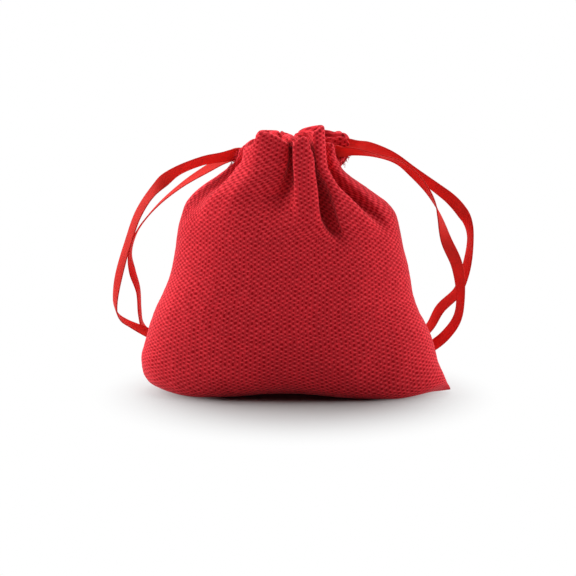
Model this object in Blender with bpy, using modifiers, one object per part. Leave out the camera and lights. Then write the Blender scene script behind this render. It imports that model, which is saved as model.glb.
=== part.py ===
"""Small drawstring pouch of coarse red linen, standing filled out, with a gathered neck.

The pouch is one piece of cloth: a folded bottom, two side seams, a gathered neck and a
hem turned over to the inside, which makes the channel for the two ribbons. The side seams
stay open above the stitched neck, and there each ribbon comes out with both of its ends.
Two flat satin ribbons run through the channel, the left one under the right one, and
each is tied into a knot behind the pouch.

Lengths at the top are in millimetres; the mesh is made in metres.
+X is the pouch's right side, -Y its front, +Z up. It stands on Z = 0.
"""
import math

import bmesh
import bpy
import numpy as np

# Sizes of the filled pouch.
BODY_WIDTH = 77.4
BODY_DEPTH = 34.4
BODY_HEIGHT = 66.6
# Cloth as cut: one panel between the side seams, and its thickness.
PANEL_WIDTH = 86.0
CLOTH_THICKNESS = 0.6
# Satin ribbon and the clearance that it keeps from the cloth.
RIBBON_WIDTH = 3.0
RIBBON_THICKNESS = 0.3
CLEARANCE = 0.3
RIBBON_POINTS = 80
# Knots: both ends of a ribbon drawn together into one cord, tied overhand.
KNOT_CORD = 1.5
KNOT_SIZE = 1.2
KNOT_RISE = 1.5

# A fold of the cloth: round crest and tight root, each with the cloth that it takes, and
# the steepest angle of its walls, just past square to the outline.
CREST_LENGTH = 3.0
ROOT_LENGTH = 1.4
STEEPEST = 100.0

MM = 0.001
SCALE = np.array([BODY_WIDTH / 77.4, BODY_DEPTH / 34.4, BODY_HEIGHT / 66.6])
HALF = PANEL_WIDTH / 2
STITCH_Z = 56.4
# The ribbons' way round inside the neck.
NECK_CENTRE = (-2.4, 0.4)
NECK_RING = (5.3, 6.0)
RIBBON_LOW_Z = 58.2
RIBBON_HIGH_Z = 61.5

# Left and right outline of the filled pouch by height: z, x.
LEFT_SIDE = (
    (0.0, -33.4), (1.6, -35.9), (3.2, -37.3), (5.0, -38.2), (8.4, -38.7), (11.6, -38.1),
    (15.4, -37.1), (20.5, -35.3), (25.5, -33.0), (30.5, -31.1), (35.6, -30.0),
    (40.6, -29.2), (44.4, -28.2), (47.0, -27.3), (49.4, -25.6), (51.9, -22.6),
    (54.4, -19.0), (56.4, -16.6), (58.5, -15.6),
)
RIGHT_SIDE = (
    (0.0, 38.2), (0.7, 38.7), (2.8, 37.6), (5.3, 36.5), (7.9, 35.4), (11.6, 34.6),
    (15.4, 33.4), (20.5, 30.8), (25.5, 29.2), (30.5, 28.4), (35.6, 27.0),
    (40.6, 25.7), (44.4, 24.6), (47.0, 22.8), (49.4, 19.8), (51.9, 16.4),
    (54.4, 12.8), (56.4, 11.0), (58.5, 10.8),
)
# The body by cloth height: s, front y, front z, back y, left seam y and z, right seam
# y and z, squareness at the left and at the right, flat share of the level.
BODY = (
    (0.6, -0.6, 0.0, 0.6, 0.6, 0.6, -2.4, 0.7, 0.62, 0.90, 0.80),
    (11.5, -11.4, 0.0, 11.2, 0.4, 3.0, -2.7, 4.0, 0.62, 0.62, 0.64),
    (14.8, -14.2, 1.1, 13.6, 0.3, 5.0, -2.4, 5.9, 0.66, 0.70, 0.55),
    (19.0, -16.2, 4.4, 15.4, 0.1, 8.2, -1.9, 8.9, 0.72, 0.78, 0.42),
    (25.5, -17.4, 10.8, 16.6, 0.0, 12.8, -1.3, 13.4, 0.78, 0.86, 0.20),
    (33.0, -17.6, 18.3, 16.8, 0.0, 19.1, -0.7, 19.5, 0.76, 0.80, 0.0),
    (41.0, -17.3, 26.3, 16.5, 0.0, 26.4, -0.5, 26.2, 0.74, 0.77, 0.0),
    (48.5, -16.7, 33.8, 16.1, 0.0, 33.4, -0.5, 33.4, 0.74, 0.76, 0.0),
    (54.5, -16.1, 39.7, 15.6, 0.0, 39.2, -0.7, 39.2, 0.76, 0.78, 0.0),
    (59.5, -15.5, 44.6, 15.1, 0.0, 44.0, -1.0, 43.9, 0.82, 0.82, 0.0),
    (63.5, -15.0, 48.6, 14.7, -0.1, 48.0, -1.5, 47.8, 0.92, 0.92, 0.0),
    (67.0, -14.5, 52.0, 14.3, -0.2, 51.6, -2.1, 51.5, 0.96, 0.96, 0.0),
    (69.6, -14.2, 54.4, 13.9, -0.3, 54.2, -2.8, 54.1, 1.0, 1.0, 0.0),
    (71.8, -14.0, 56.4, 13.7, -0.4, 56.4, -3.2, 56.4, 1.0, 1.0, 0.0),
)
# The hem by share of its height: front panel's left and right edge, its front y, then
# the back panel's right and left edge and its back y.
HEM = (
    (0.0, -16.6, -0.4, 11.0, -3.2, -14.0, 11.0, -3.2, -16.6, -0.4, 13.7),
    (0.25, -15.2, -2.2, 10.7, -4.4, -14.0, 12.2, -1.0, -14.8, 2.0, 13.7),
    (0.5, -14.6, -2.8, 10.5, -5.0, -14.0, 13.1, 0.6, -14.1, 2.8, 13.6),
    (1.0, -14.1, -3.0, 10.5, -5.0, -13.9, 13.5, 1.0, -13.6, 3.0, 13.4),
)
# Top of the hem across each panel: place on the cloth, z.
TOP_FRONT = (
    (-43.0, 62.6), (-39.0, 63.0), (-34.6, 63.9), (-28.5, 64.3), (-24.5, 65.4),
    (-20.5, 65.9), (-16.5, 65.4), (-12.0, 64.5), (-6.0, 63.9), (-1.0, 64.0), (2.4, 64.5),
    (6.5, 64.2), (10.9, 63.9), (15.0, 65.2), (19.3, 66.6), (22.5, 66.0), (27.6, 64.5),
    (34.0, 64.8), (39.0, 64.4), (43.0, 64.8),
)
TOP_BACK = (
    (-43.0, 62.6), (-40.5, 63.8), (-37.5, 65.0), (-34.0, 64.2), (-26.0, 65.2),
    (-17.8, 63.9), (-9.5, 64.1), (-1.2, 63.9), (7.0, 64.6), (15.2, 63.9), (23.4, 64.8),
    (31.6, 63.9), (38.0, 64.2), (43.0, 62.8),
)
# Folds of each panel from the neck down: place on the cloth at the top and where it
# fades, how far down it starts to wander, its reach to each side, its lean, then its
# weight at falling cloth heights.
FOLD_HEIGHTS = (71.8, 69.8, 67.5, 64.5, 61.0, 57.0, 53.0, 48.0, 43.0)
FRONT_FOLDS = (
    (-34.6, -33.5, 0.0, 7.4, 0.00, (1.0, 0.96, 0.86, 0.66, 0.40, 0.18, 0.05, 0.0, 0.0)),
    (-6.0, -12.0, 0.0, 8.2, 0.10, (1.0, 0.98, 0.92, 0.72, 0.34, 0.10, 0.02, 0.0, 0.0)),
    (10.9, 18.0, 0.3, 8.2, -0.05, (1.0, 0.99, 0.97, 0.92, 0.82, 0.62, 0.36, 0.13, 0.02)),
    (27.6, 32.0, 0.1, 7.8, -0.25, (1.0, 0.96, 0.89, 0.76, 0.58, 0.40, 0.22, 0.07, 0.0)),
    (39.1, 39.1, 0.0, 3.5, 0.00, (1.0, 0.90, 0.70, 0.40, 0.12, 0.00, 0.00, 0.0, 0.0)),
)
BACK_FOLDS = (
    (-34.0, -34.0, 0.0, 7.0, 0.00, (1.0, 0.95, 0.85, 0.66, 0.42, 0.20, 0.06, 0.0, 0.0)),
    (-17.8, -15.0, 0.2, 7.0, 0.00, (1.0, 0.97, 0.92, 0.80, 0.60, 0.36, 0.14, 0.03, 0.0)),
    (-1.2, 0.0, 0.0, 7.0, 0.00, (1.0, 0.97, 0.90, 0.74, 0.46, 0.20, 0.05, 0.0, 0.0)),
    (15.2, 18.0, 0.2, 7.0, 0.00, (1.0, 0.98, 0.94, 0.84, 0.68, 0.46, 0.22, 0.06, 0.0)),
    (31.6, 32.0, 0.0, 7.0, 0.00, (1.0, 0.96, 0.87, 0.70, 0.46, 0.22, 0.08, 0.0, 0.0)),
)
# Cloth beside each side seam with no mesh column, and columns beside the middle of a fold.
SEAM_STRIP = 2.2
BESIDE_FOLD = (0.0, 1.1, 3.6, 5.9, 8.0)


# Each ribbon strand from inside its slit to its knot: x, y, z, then how far its width is
# turned, in degrees, from square to its way as seen from the front.
LEFT_FRONT_STRAND = (
    (-15.0, -0.2, 59.2, 30), (-18.6, -1.9, 58.6, 54), (-22.8, -3.1, 57.8, 56),
    (-29.6, -3.8, 55.0, 55), (-35.0, -3.1, 50.4, 41), (-38.8, -2.1, 44.8, 45),
    (-41.8, -1.1, 37.0, 48), (-44.3, 0.4, 28.9, 45), (-45.5, 2.4, 22.5, 60),
    (-45.5, 4.0, 19.9, 78), (-44.7, 6.2, 17.6, 98), (-42.7, 8.3, 15.8, 114),
    (-38.4, 10.6, 13.2, 139), (-34.0, 14.2, 10.0, 150), (-29.5, 18.2, 6.6, 165),
    (-25.0, 21.0, 4.2, 180), (-20.6, 22.6, 2.8, 180), (-19.4, 22.9, 2.6, 180),
)
LEFT_BACK_STRAND = (
    (-14.6, 1.0, 59.4, 0), (-17.8, 1.8, 58.1, 30), (-22.2, 3.4, 55.6, 45),
    (-29.0, 5.4, 51.3, 65), (-36.0, 6.4, 45.2, 80), (-40.4, 6.4, 39.4, 88),
    (-42.1, 6.4, 34.0, 98), (-41.7, 7.2, 29.5, 117), (-40.4, 8.6, 24.5, 105),
    (-40.3, 10.9, 18.6, 100), (-39.8, 13.2, 14.4, 105), (-37.2, 16.4, 10.6, 125),
    (-32.5, 20.0, 6.6, 145), (-27.2, 23.2, 4.0, 165), (-22.5, 25.0, 2.9, 180),
    (-20.6, 25.4, 2.7, 180),
)
RIGHT_BACK_STRAND = (
    (11.5, -0.9, 61.9, 0), (14.6, 0.1, 61.4, 30), (17.6, 2.1, 61.2, 41),
    (23.9, 5.4, 58.9, 54), (29.7, 6.9, 54.8, 48), (35.9, 7.4, 50.4, 38),
    (39.3, 6.9, 47.7, 24), (41.7, 6.4, 45.0, 8), (43.3, 5.9, 42.3, 45),
    (44.2, 6.4, 38.0, 66), (43.4, 8.4, 29.5, 48), (41.6, 9.9, 24.0, 42),
    (37.3, 11.4, 19.2, 34), (34.8, 12.4, 14.4, 45), (31.0, 15.9, 10.0, 60),
    (27.5, 19.2, 6.5, 75), (24.2, 21.4, 4.0, 90), (22.8, 21.9, 3.3, 90),
)
RIGHT_FRONT_STRAND = (
    (9.1, -3.2, 60.2, 0), (11.6, -4.2, 60.0, 44), (13.6, -4.8, 60.1, 56),
    (18.9, -4.6, 59.2, 80), (24.8, -3.6, 57.5, 73), (28.9, -3.0, 54.3, 60),
    (32.2, -2.6, 50.5, 73), (34.1, -2.6, 47.2, 90), (35.3, -2.6, 44.0, 115),
    (37.0, -2.6, 38.3, 163), (39.9, -1.6, 31.9, 203), (41.4, 2.4, 23.0, 234),
    (41.0, 5.9, 17.3, 228), (38.4, 9.9, 12.3, 213), (35.0, 14.0, 8.6, 205),
    (31.5, 17.9, 5.8, 195), (28.0, 21.4, 3.6, 185), (25.0, 23.6, 2.6, 180),
    (24.0, 24.1, 2.4, 180),
)
# The ribbon turned upright beside the slits: x, y, z.
LEFT_FRONT_INSIDE = ((-9.6, -0.6, 58.6), (-12.4, -0.3, 58.9))
LEFT_BACK_INSIDE = ((-9.6, 1.4, 58.6), (-12.2, 1.1, 59.2))
RIGHT_BACK_INSIDE = ((5.4, 1.5, 61.6), (8.6, 0.1, 61.8))
RIGHT_FRONT_INSIDE = ((4.8, -2.6, 61.0), (7.0, -2.9, 60.6))
LEFT_KNOT = (-16.0, 26.0, 2.5)
RIGHT_KNOT = (19.8, 24.8, 2.5)


def smooth(keys, at):
    """Values of the keyed rows at the given places, on a smooth curve with no overshoot."""
    keys = np.array(keys, dtype=float)
    x = keys[:, 0]
    y = keys[:, 1:]
    step = np.diff(x)[:, None]
    rate = np.diff(y, axis=0) / step
    slope = np.zeros_like(y)
    slope[0] = rate[0]
    slope[-1] = rate[-1]
    same = rate[:-1] * rate[1:] > 0
    before = np.where(same, rate[:-1], 1.0)
    after = np.where(same, rate[1:], 1.0)
    w1 = 2 * step[1:] + step[:-1]
    w2 = step[1:] + 2 * step[:-1]
    slope[1:-1] = np.where(same, (w1 + w2) / (w1 / before + w2 / after), 0.0)
    at = np.clip(np.atleast_1d(np.array(at, dtype=float)), x[0], x[-1])
    i = np.clip(np.searchsorted(x, at, side="right") - 1, 0, len(x) - 2)
    h = x[i + 1] - x[i]
    t = ((at - x[i]) / h)[:, None]
    h = h[:, None]
    return (
        y[i] * (1 + 2 * t) * (1 - t) ** 2
        + slope[i] * h * t * (1 - t) ** 2
        + y[i + 1] * t * t * (3 - 2 * t)
        + slope[i + 1] * h * t * t * (t - 1)
    )


def ease(x):
    """0 below 0, 1 above 1, smooth between."""
    x = np.clip(x, 0.0, 1.0)
    return x * x * (3 - 2 * x)


def running_sum(values, places):
    """Integral of the values from the first place on."""
    part = (values[1:] + values[:-1]) / 2 * np.diff(places)
    return np.concatenate([[0.0], np.cumsum(part)])


def cloth_angle(q, folds, steep):
    """Angle between the cloth and the outline of its panel, all along the cloth.

    Each fold is its place, reach, weight and lean. The cloth turns round its crest, runs
    down a straight wall and turns back at its root.
    """
    angle = np.zeros_like(q)
    for place, reach, weight, tilt in folds:
        side = q - place
        inner = 1 - np.abs(side) / reach
        crest = np.clip(inner * reach / CREST_LENGTH, 0.0, 1.0)
        root = np.clip((1 - inner) * reach / ROOT_LENGTH, 0.0, 1.0)
        angle -= np.sign(side) * steep * weight * crest * root
    return angle


def fold_depth(q, folds, girth):
    """Depth of the folds below an outline of this length, the angle of the cloth to it,
    and its lean. The folds turn as far as the spare cloth needs."""
    low, high = 0.0, math.radians(STEEPEST)
    for turn in range(24):
        steep = (low + high) / 2
        if running_sum(np.cos(cloth_angle(q, folds, steep)), q)[-1] > girth:
            low = steep
        else:
            high = steep
    angle = cloth_angle(q, folds, (low + high) / 2)
    lean = np.zeros_like(q)
    for place, reach, weight, tilt in folds:
        lean += tilt * ease((1 - np.abs(q - place) / reach) * 1.6)
    return running_sum(np.sin(angle), q), angle, lean


def base_outline(start, end, middle, square):
    """Smooth plan outline of one panel, from its first seam by its middle to its last."""
    phi = np.linspace(0.0, math.pi, 721)
    share = (1 - np.cos(phi)) / 2
    x = start[0] + (end[0] - start[0]) * share
    power = square[0] + (square[1] - square[0]) * share
    chord = start[1] + (end[1] - start[1]) * share
    y = chord + (middle - (start[1] + end[1]) / 2) * np.sin(phi).clip(0, 1) ** power
    return np.stack([x, y], axis=1), np.abs(np.cos(phi)), share


def along(points, q):
    """Unit direction of a line of plan points."""
    step = np.gradient(points, q, axis=0)
    return step / np.maximum(np.linalg.norm(step, axis=1, keepdims=True), 1e-9)


def panel_level(start, end, middle, square, folds):
    """Plan of one panel at one level: places on the cloth, the folded line, its inward
    direction, the fold depth, the outline's own place and the side share."""
    q = np.linspace(-HALF, HALF, 1601)
    outline, side, share = base_outline(start, end, middle, square)
    way = np.concatenate([[0], np.cumsum(np.linalg.norm(np.diff(outline, axis=0), axis=1))])
    heading = along(outline, way)
    depth, turned, lean = fold_depth(q, folds, way[-1])
    made = running_sum(np.cos(turned), q)
    place = made / made[-1] * way[-1]
    base = np.stack([np.interp(place, way, outline[:, k]) for k in (0, 1)], axis=1)
    ahead = np.stack([np.interp(place, way, heading[:, k]) for k in (0, 1)], axis=1)
    inward = np.stack([-ahead[:, 1], ahead[:, 0]], axis=1)
    line = base + inward * depth[:, None] - ahead * (depth * lean)[:, None]
    ahead = along(line, q)
    inward = np.stack([-ahead[:, 1], ahead[:, 0]], axis=1)
    # The hem's inner side is gathered evenly, without the folds.
    even = running_sum(np.cos(turned).clip(0.15, 1.0), q)
    even = even / even[-1] * way[-1]
    plain = np.stack([np.interp(even, way, outline[:, k]) for k in (0, 1)], axis=1)
    flat = np.interp(place, way, side)
    half = np.interp(place, way, share)
    return q, line, inward, depth, plain, flat, half


def folds_at(table, height):
    """Place, reach, weight and lean of each fold at one cloth height of the body."""
    made = []
    for top, foot, start, reach, tilt, weights in table:
        down = (FOLD_HEIGHTS[0] - height) / (FOLD_HEIGHTS[0] - FOLD_HEIGHTS[-1])
        keys = tuple(zip(FOLD_HEIGHTS[::-1], weights[::-1]))
        weight = float(smooth(keys, height)[0, 0]) if height > FOLD_HEIGHTS[-1] else 0.0
        place = top + (foot - top) * float(ease((down - start) / 0.46))
        made.append((place, reach, weight, tilt * float(ease((1 - down) * 3))))
    return made


def columns(table):
    """Places of the mesh columns across one panel, close together in the folds."""
    places = set()
    for fold in table:
        for beside in BESIDE_FOLD:
            for sign in (-1, 1):
                places.add(round(fold[0] + sign * beside * fold[3] / 8.0, 3))
    inside = sorted(p for p in places if abs(p) <= HALF - SEAM_STRIP)
    places = [-HALF, *inside, HALF]
    kept = [places[0]]
    for place in places[1:]:
        gap = place - kept[-1]
        if gap < 0.75 and place < HALF:
            continue
        parts = max(1, math.ceil(gap / 3.6))
        kept.extend(kept[-1] + gap * k / parts for k in range(1, parts + 1))
    return np.array(kept)


def body_panel(row, back, places, table):
    """Points of one panel at one level of the body."""
    s, yf, zf, yb, yl, zl, yr, zr, square_l, square_r, flat_share = row
    left = (float(smooth(LEFT_SIDE, zl)[0, 0]), yl)
    right = (float(smooth(RIGHT_SIDE, zr)[0, 0]), yr)
    folds = folds_at(table, s)
    if back:
        made = panel_level(right, left, yb, (square_r, square_l), folds)
    else:
        made = panel_level(left, right, yf, (square_l, square_r), folds)
    q, line, inward, depth, plain, side, half = made
    lift = ((side - flat_share) / (1 - flat_share)).clip(0, 1) ** (2.0 if flat_share else 2.4)
    first, last = (zr, zl) if back else (zl, zr)
    seam = np.where(half < 0.5, first, last)
    z = zf + (seam - zf) * lift
    arch = float(smooth(ARCH, s)[0, 1 if back else 0])
    x_mid = 12.0 if back else -2.0
    z = z + arch * np.exp(-(((line[:, 0] - x_mid) / 12.5) ** 2))
    return np.stack([np.interp(places, q, line[:, 0]), np.interp(places, q, line[:, 1]),
                     np.interp(places, q, z)], axis=1)


# Lift of the bottom's edge in the middle: cloth height, front, back.
ARCH = ((0.6, 0.0, 0.0), (6.0, 0.35, 0.0), (11.5, 1.5, 0.0), (14.6, 1.9, 0.2),
        (18.0, 1.5, 0.2), (23.0, 0.7, 0.1), (29.0, 0.15, 0.0), (35.0, 0.0, 0.0),
        (72.0, 0.0, 0.0))


def hem_panel(share, back, table):
    """Fine plan of one panel of the hem."""
    row = smooth(HEM, share)[0]
    folds = [(f[0], f[3], 1.0, f[4]) for f in table]
    if back:
        return panel_level(row[5:7], row[7:9], row[9], (1.0, 1.0), folds)
    return panel_level(row[0:2], row[2:4], row[4], (1.0, 1.0), folds)


def hem_points(back, places, table):
    """All levels of the outside of the hem of one panel, up to its top edge."""
    top = smooth(TOP_BACK if back else TOP_FRONT, places)[:, 0]
    levels = []
    for share in (0.25, 0.5, 0.75, 1.0):
        q, line, inward, depth, plain, side, half = hem_panel(share, back, table)
        z = STITCH_Z + (top - STITCH_Z) * share
        levels.append(np.stack([np.interp(places, q, line[:, 0]),
                                np.interp(places, q, line[:, 1]), z], axis=1))
    return levels


def pouch_mesh():
    """The outside of the cloth as one sheet of quads."""
    front_places = columns(FRONT_FOLDS)
    back_places = columns(BACK_FOLDS)
    rows = []
    for row in BODY:
        rows.append((body_panel(row, False, front_places, FRONT_FOLDS),
                     body_panel(row, True, back_places, BACK_FOLDS)))
    seam_rows = len(rows)
    rows.extend(zip(hem_points(False, front_places, FRONT_FOLDS),
                    hem_points(True, back_places, BACK_FOLDS)))
    nf = len(front_places)
    nb = len(back_places)
    points = [p for front, back in rows for p in (*front, *back)]
    around = nf + nb
    faces = []
    for level in range(len(rows) - 1):
        for i in range(around):
            j = (i + 1) % around
            if i in (nf - 1, around - 1) and level >= seam_rows - 1:
                continue
            a = level * around
            faces.append((a + i, a + j, a + around + j, a + around + i))
    # The two panels meet along the folded bottom.
    i, j = 0, around - 1
    while i < nf - 1 or j > nf:
        ahead_i = rows[0][0][min(i + 1, nf - 1)][0]
        ahead_j = rows[0][1][max(j - 1 - nf, 0)][0]
        if i < nf - 1 and j > nf and abs(ahead_i - ahead_j) < 1.2:
            faces.append((i, j, j - 1, i + 1))
            i, j = i + 1, j - 1
        elif j <= nf or (i < nf - 1 and ahead_i < ahead_j):
            faces.append((i, j, i + 1))
            i += 1
        else:
            faces.append((i, j, j - 1))
            j -= 1
    return np.array(points) * SCALE, faces


def through(rows, at):
    """Rows of numbers along a smooth curve through the given rows, at places 0 to 1."""
    rows = np.array(rows, dtype=float)
    step = np.sqrt(np.maximum(np.linalg.norm(np.diff(rows[:, :3], axis=0), axis=1), 1e-6))
    knots = np.concatenate([[0.0], np.cumsum(step)])
    ends = np.vstack([2 * rows[:1] - rows[1:2], rows, 2 * rows[-1:] - rows[-2:-1]])
    where = np.concatenate([[-step[0]], knots, [knots[-1] + step[-1]]])
    t = np.clip(at, 0, 1) * knots[-1]
    i = np.clip(np.searchsorted(knots, t, side="right"), 1, len(rows) - 1)
    t = t[:, None]
    p = [ends[i + k - 1] for k in range(4)]
    w = [where[i + k - 1][:, None] for k in range(4)]
    a1 = ((w[1] - t) * p[0] + (t - w[0]) * p[1]) / (w[1] - w[0])
    a2 = ((w[2] - t) * p[1] + (t - w[1]) * p[2]) / (w[2] - w[1])
    a3 = ((w[3] - t) * p[2] + (t - w[2]) * p[3]) / (w[3] - w[2])
    b1 = ((w[2] - t) * a1 + (t - w[0]) * a2) / (w[2] - w[0])
    b2 = ((w[3] - t) * a2 + (t - w[1]) * a3) / (w[3] - w[1])
    return ((w[2] - t) * b1 + (t - w[1]) * b2) / (w[2] - w[1])


def ribbon_route(first, first_inside, second_inside, second, height, ring_angles):
    """A whole ribbon: up one strand, round the neck and down the other strand.

    The rows are x, y, z and the direction of the ribbon's width.
    """
    rows = [(*p[:3], p[3]) for p in first[::-1]]
    rows += [(*p, None) for p in first_inside[::-1]]
    for angle in ring_angles:
        turn = math.radians(angle)
        rows.append((NECK_CENTRE[0] + NECK_RING[0] * math.cos(turn),
                     NECK_CENTRE[1] + NECK_RING[1] * math.sin(turn), height, None))
    rows += [(*p, None) for p in second_inside]
    rows += [(*p[:3], p[3]) for p in second]
    points = np.array([row[:3] for row in rows], dtype=float)
    toward = np.array([0.0, -1.0, 0.12])
    made = []
    for i, row in enumerate(rows):
        ahead = points[min(i + 1, len(rows) - 1)] - points[max(i - 1, 0)]
        ahead /= np.linalg.norm(ahead)
        if i < len(first):
            ahead = -ahead
        if row[3] is None:
            wide = np.array([0.0, 0.0, 1.0])
        else:
            facing = toward - ahead * (ahead @ toward)
            facing /= np.linalg.norm(facing)
            turn = math.radians(row[3])
            wide = math.cos(turn) * np.cross(ahead, facing) - math.sin(turn) * facing
        if made and wide @ made[-1][3:] < 0:
            wide = -wide
        made.append(np.concatenate([points[i], wide]))
    return np.array(made)


def ribbon_stations(route, count):
    """Evenly spaced centres of a ribbon with the directions of its width and its face."""
    fine = through(route, np.linspace(0, 1, 4001))
    way = np.concatenate([[0], np.cumsum(np.linalg.norm(np.diff(fine[:, :3], axis=0), axis=1))])
    at = np.linspace(0, way[-1], count)
    rows = np.stack([np.interp(at, way, fine[:, k]) for k in range(6)], axis=1)
    centre = rows[:, :3]
    ahead = np.gradient(centre, at, axis=0)
    ahead /= np.linalg.norm(ahead, axis=1, keepdims=True)
    wide = rows[:, 3:] - ahead * (rows[:, 3:] * ahead).sum(axis=1, keepdims=True)
    wide /= np.linalg.norm(wide, axis=1, keepdims=True)
    return centre, wide, np.cross(ahead, wide), way[-1]


def ribbon_mesh(route):
    """A flat ribbon lofted along its route."""
    centre, wide, face, length = ribbon_stations(route, RIBBON_POINTS)
    w = RIBBON_WIDTH / 2
    t = RIBBON_THICKNESS / 2
    corners = ((-w, -t), (w, -t), (w, t), (-w, t))
    points = [c + b * u + n * v for c, b, n in zip(centre, wide, face) for u, v in corners]
    faces = [(3, 2, 1, 0)]
    for i in range(RIBBON_POINTS - 1):
        for k in range(4):
            a = 4 * i + k
            b = 4 * i + (k + 1) % 4
            # Both flat sides are split the same way, so a twist keeps the thickness.
            if k < 2:
                faces += [(a, b, b + 4), (a, b + 4, a + 4)]
            else:
                faces += [(a, b, a + 4), (b, b + 4, a + 4)]
    last = 4 * (RIBBON_POINTS - 1)
    faces.append((last, last + 1, last + 2, last + 3))
    return np.array(points), faces, length


def knot_points(centre, count):
    """Centre line of an overhand knot drawn tight."""
    t = np.linspace(0, 2 * math.pi, count, endpoint=False)
    x = KNOT_SIZE * (np.sin(t) + 2 * np.sin(2 * t))
    y = KNOT_SIZE * (np.cos(t) - 2 * np.cos(2 * t))
    z = -KNOT_RISE * np.sin(3 * t)
    return np.stack([x, y, z], axis=1) + np.array(centre)


def add_knot(name, centre, material, collection):
    curve = bpy.data.curves.new(name, "CURVE")
    curve.dimensions = "3D"
    curve.bevel_depth = KNOT_CORD / 2 * MM
    curve.bevel_resolution = 2
    curve.materials.append(material)
    line = curve.splines.new("POLY")
    points = knot_points(centre, 60)
    line.points.add(len(points) - 1)
    for point, place in zip(line.points, points):
        point.co = (*(place * MM), 1.0)
    line.use_cyclic_u = True
    obj = bpy.data.objects.new(name, curve)
    collection.objects.link(obj)
    return obj


def cloth_material(name, colour, roughness):
    material = bpy.data.materials.new(name)
    material.use_nodes = True
    shader = material.node_tree.nodes["Principled BSDF"]
    shader.inputs["Base Color"].default_value = (*colour, 1.0)
    shader.inputs["Roughness"].default_value = roughness
    return material


def add_object(name, points, faces, material, collection):
    mesh = bpy.data.meshes.new(name)
    mesh.from_pydata([tuple(p * MM) for p in points], [], faces)
    shape = bmesh.new()
    shape.from_mesh(mesh)
    bmesh.ops.remove_doubles(shape, verts=shape.verts, dist=0.01 * MM)
    shape.to_mesh(mesh)
    shape.free()
    mesh.update()
    obj = bpy.data.objects.new(name, mesh)
    collection.objects.link(obj)
    mesh.materials.append(material)
    for polygon in mesh.polygons:
        polygon.use_smooth = True
    return obj


def main():
    for obj in list(bpy.data.objects):
        bpy.data.objects.remove(obj)
    collection = bpy.data.collections.new("drawstring_pouch")
    bpy.context.scene.collection.children.link(collection)

    points, faces = pouch_mesh()
    low = points.min(axis=0)
    high = points.max(axis=0)
    print("pouch box", low.round(2), high.round(2), "faces", len(faces))
    points[:, :2] -= ((low + high) / 2)[:2]
    cloth = add_object("pouch_body", points, faces,
                       cloth_material("red_linen", (0.45, 0.015, 0.025), 0.95), collection)
    wall = cloth.modifiers.new("cloth", "SOLIDIFY")
    wall.thickness = CLOTH_THICKNESS * MM
    wall.offset = -1.0

    satin = cloth_material("red_satin", (0.70, 0.05, 0.06), 0.35)
    left = ribbon_route(LEFT_FRONT_STRAND, LEFT_FRONT_INSIDE, LEFT_BACK_INSIDE,
                        LEFT_BACK_STRAND, RIBBON_LOW_Z, (222, 262, 302, 342, 22, 62, 102, 138))
    right = ribbon_route(RIGHT_BACK_STRAND, RIGHT_BACK_INSIDE, RIGHT_FRONT_INSIDE,
                         RIGHT_FRONT_STRAND, RIBBON_HIGH_Z, (38, 78, 118, 158, 198, 238, 282, 318))
    for name, route in (("left_ribbon", left), ("right_ribbon", right)):
        points, faces, length = ribbon_mesh(route)
        print(name, "length", round(length, 1))
        add_object(name, points, faces, satin, collection)
    add_knot("left_knot", LEFT_KNOT, satin, collection)
    add_knot("right_knot", RIGHT_KNOT, satin, collection)


main()
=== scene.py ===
"""Small drawstring pouch of coarse red linen with two satin ribbons, ready to render.

The cloth is drawn from the cut panel: every point of the mesh knows its place on the flat
cloth, in millimetres, so the folds and the weave follow the same threads.
Lengths below are in millimetres, and meshes are made in metres.
"""

import math

import bmesh
import bpy
import numpy as np
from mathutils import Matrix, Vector, noise


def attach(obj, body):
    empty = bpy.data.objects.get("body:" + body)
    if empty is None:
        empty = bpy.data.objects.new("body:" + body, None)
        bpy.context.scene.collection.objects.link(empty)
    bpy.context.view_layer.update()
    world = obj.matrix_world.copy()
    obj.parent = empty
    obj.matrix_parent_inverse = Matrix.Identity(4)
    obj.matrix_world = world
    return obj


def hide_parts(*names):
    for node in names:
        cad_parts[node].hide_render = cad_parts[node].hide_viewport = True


bl_info = {
    "name": "Linen drawstring pouch",
    "version": (1, 0, 0),
    "blender": (4, 5, 0),
    "location": "3D View > Sidebar > Pouch",
    "description": "Builds a filled linen pouch with a gathered neck and ribbon drawstrings",
    "category": "Object",
}

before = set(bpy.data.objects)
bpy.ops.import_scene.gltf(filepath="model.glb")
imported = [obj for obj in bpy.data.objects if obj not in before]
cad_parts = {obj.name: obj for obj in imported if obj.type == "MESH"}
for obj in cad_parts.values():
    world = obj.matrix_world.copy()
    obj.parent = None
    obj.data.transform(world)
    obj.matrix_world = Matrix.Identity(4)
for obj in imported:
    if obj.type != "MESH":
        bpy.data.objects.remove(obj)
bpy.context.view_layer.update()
MM = 0.001
# Millimetres of cloth and of ribbon that one unit of their UV maps spans.
CLOTH_UV = 200
RIBBON_UV = 100

# Cloth as cut: half the width of one panel, and the stitched line of the channel.
HALF = 43.0
STITCH_Z = 56.4
# A fold of the cloth: round crest, tight root, its reach to each side, and the steepest
# its walls may turn, in degrees.
CREST_LENGTH = 3.0
ROOT_LENGTH = 1.4
FOLD_REACH = 7.0
STEEPEST = 100.0
# The ribbons' way round inside the neck.
NECK_CENTRE = (-2.4, 0.4)
NECK_RING = (5.3, 6.0)
RIBBON_LOW_Z = 58.2
RIBBON_HIGH_Z = 61.5
LEFT_KNOT = (-16.0, 26.0, 2.5)
RIGHT_KNOT = (19.8, 24.8, 2.5)
KNOT_SIZE = 1.2
KNOT_RISE = 1.5
# The knot's drawn-together ribbon: its radius, its wrinkles and how flat it is.
KNOT_STRAND = 0.84
KNOT_WRINKLES = 0.09
KNOT_FLAT = 0.82
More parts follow.
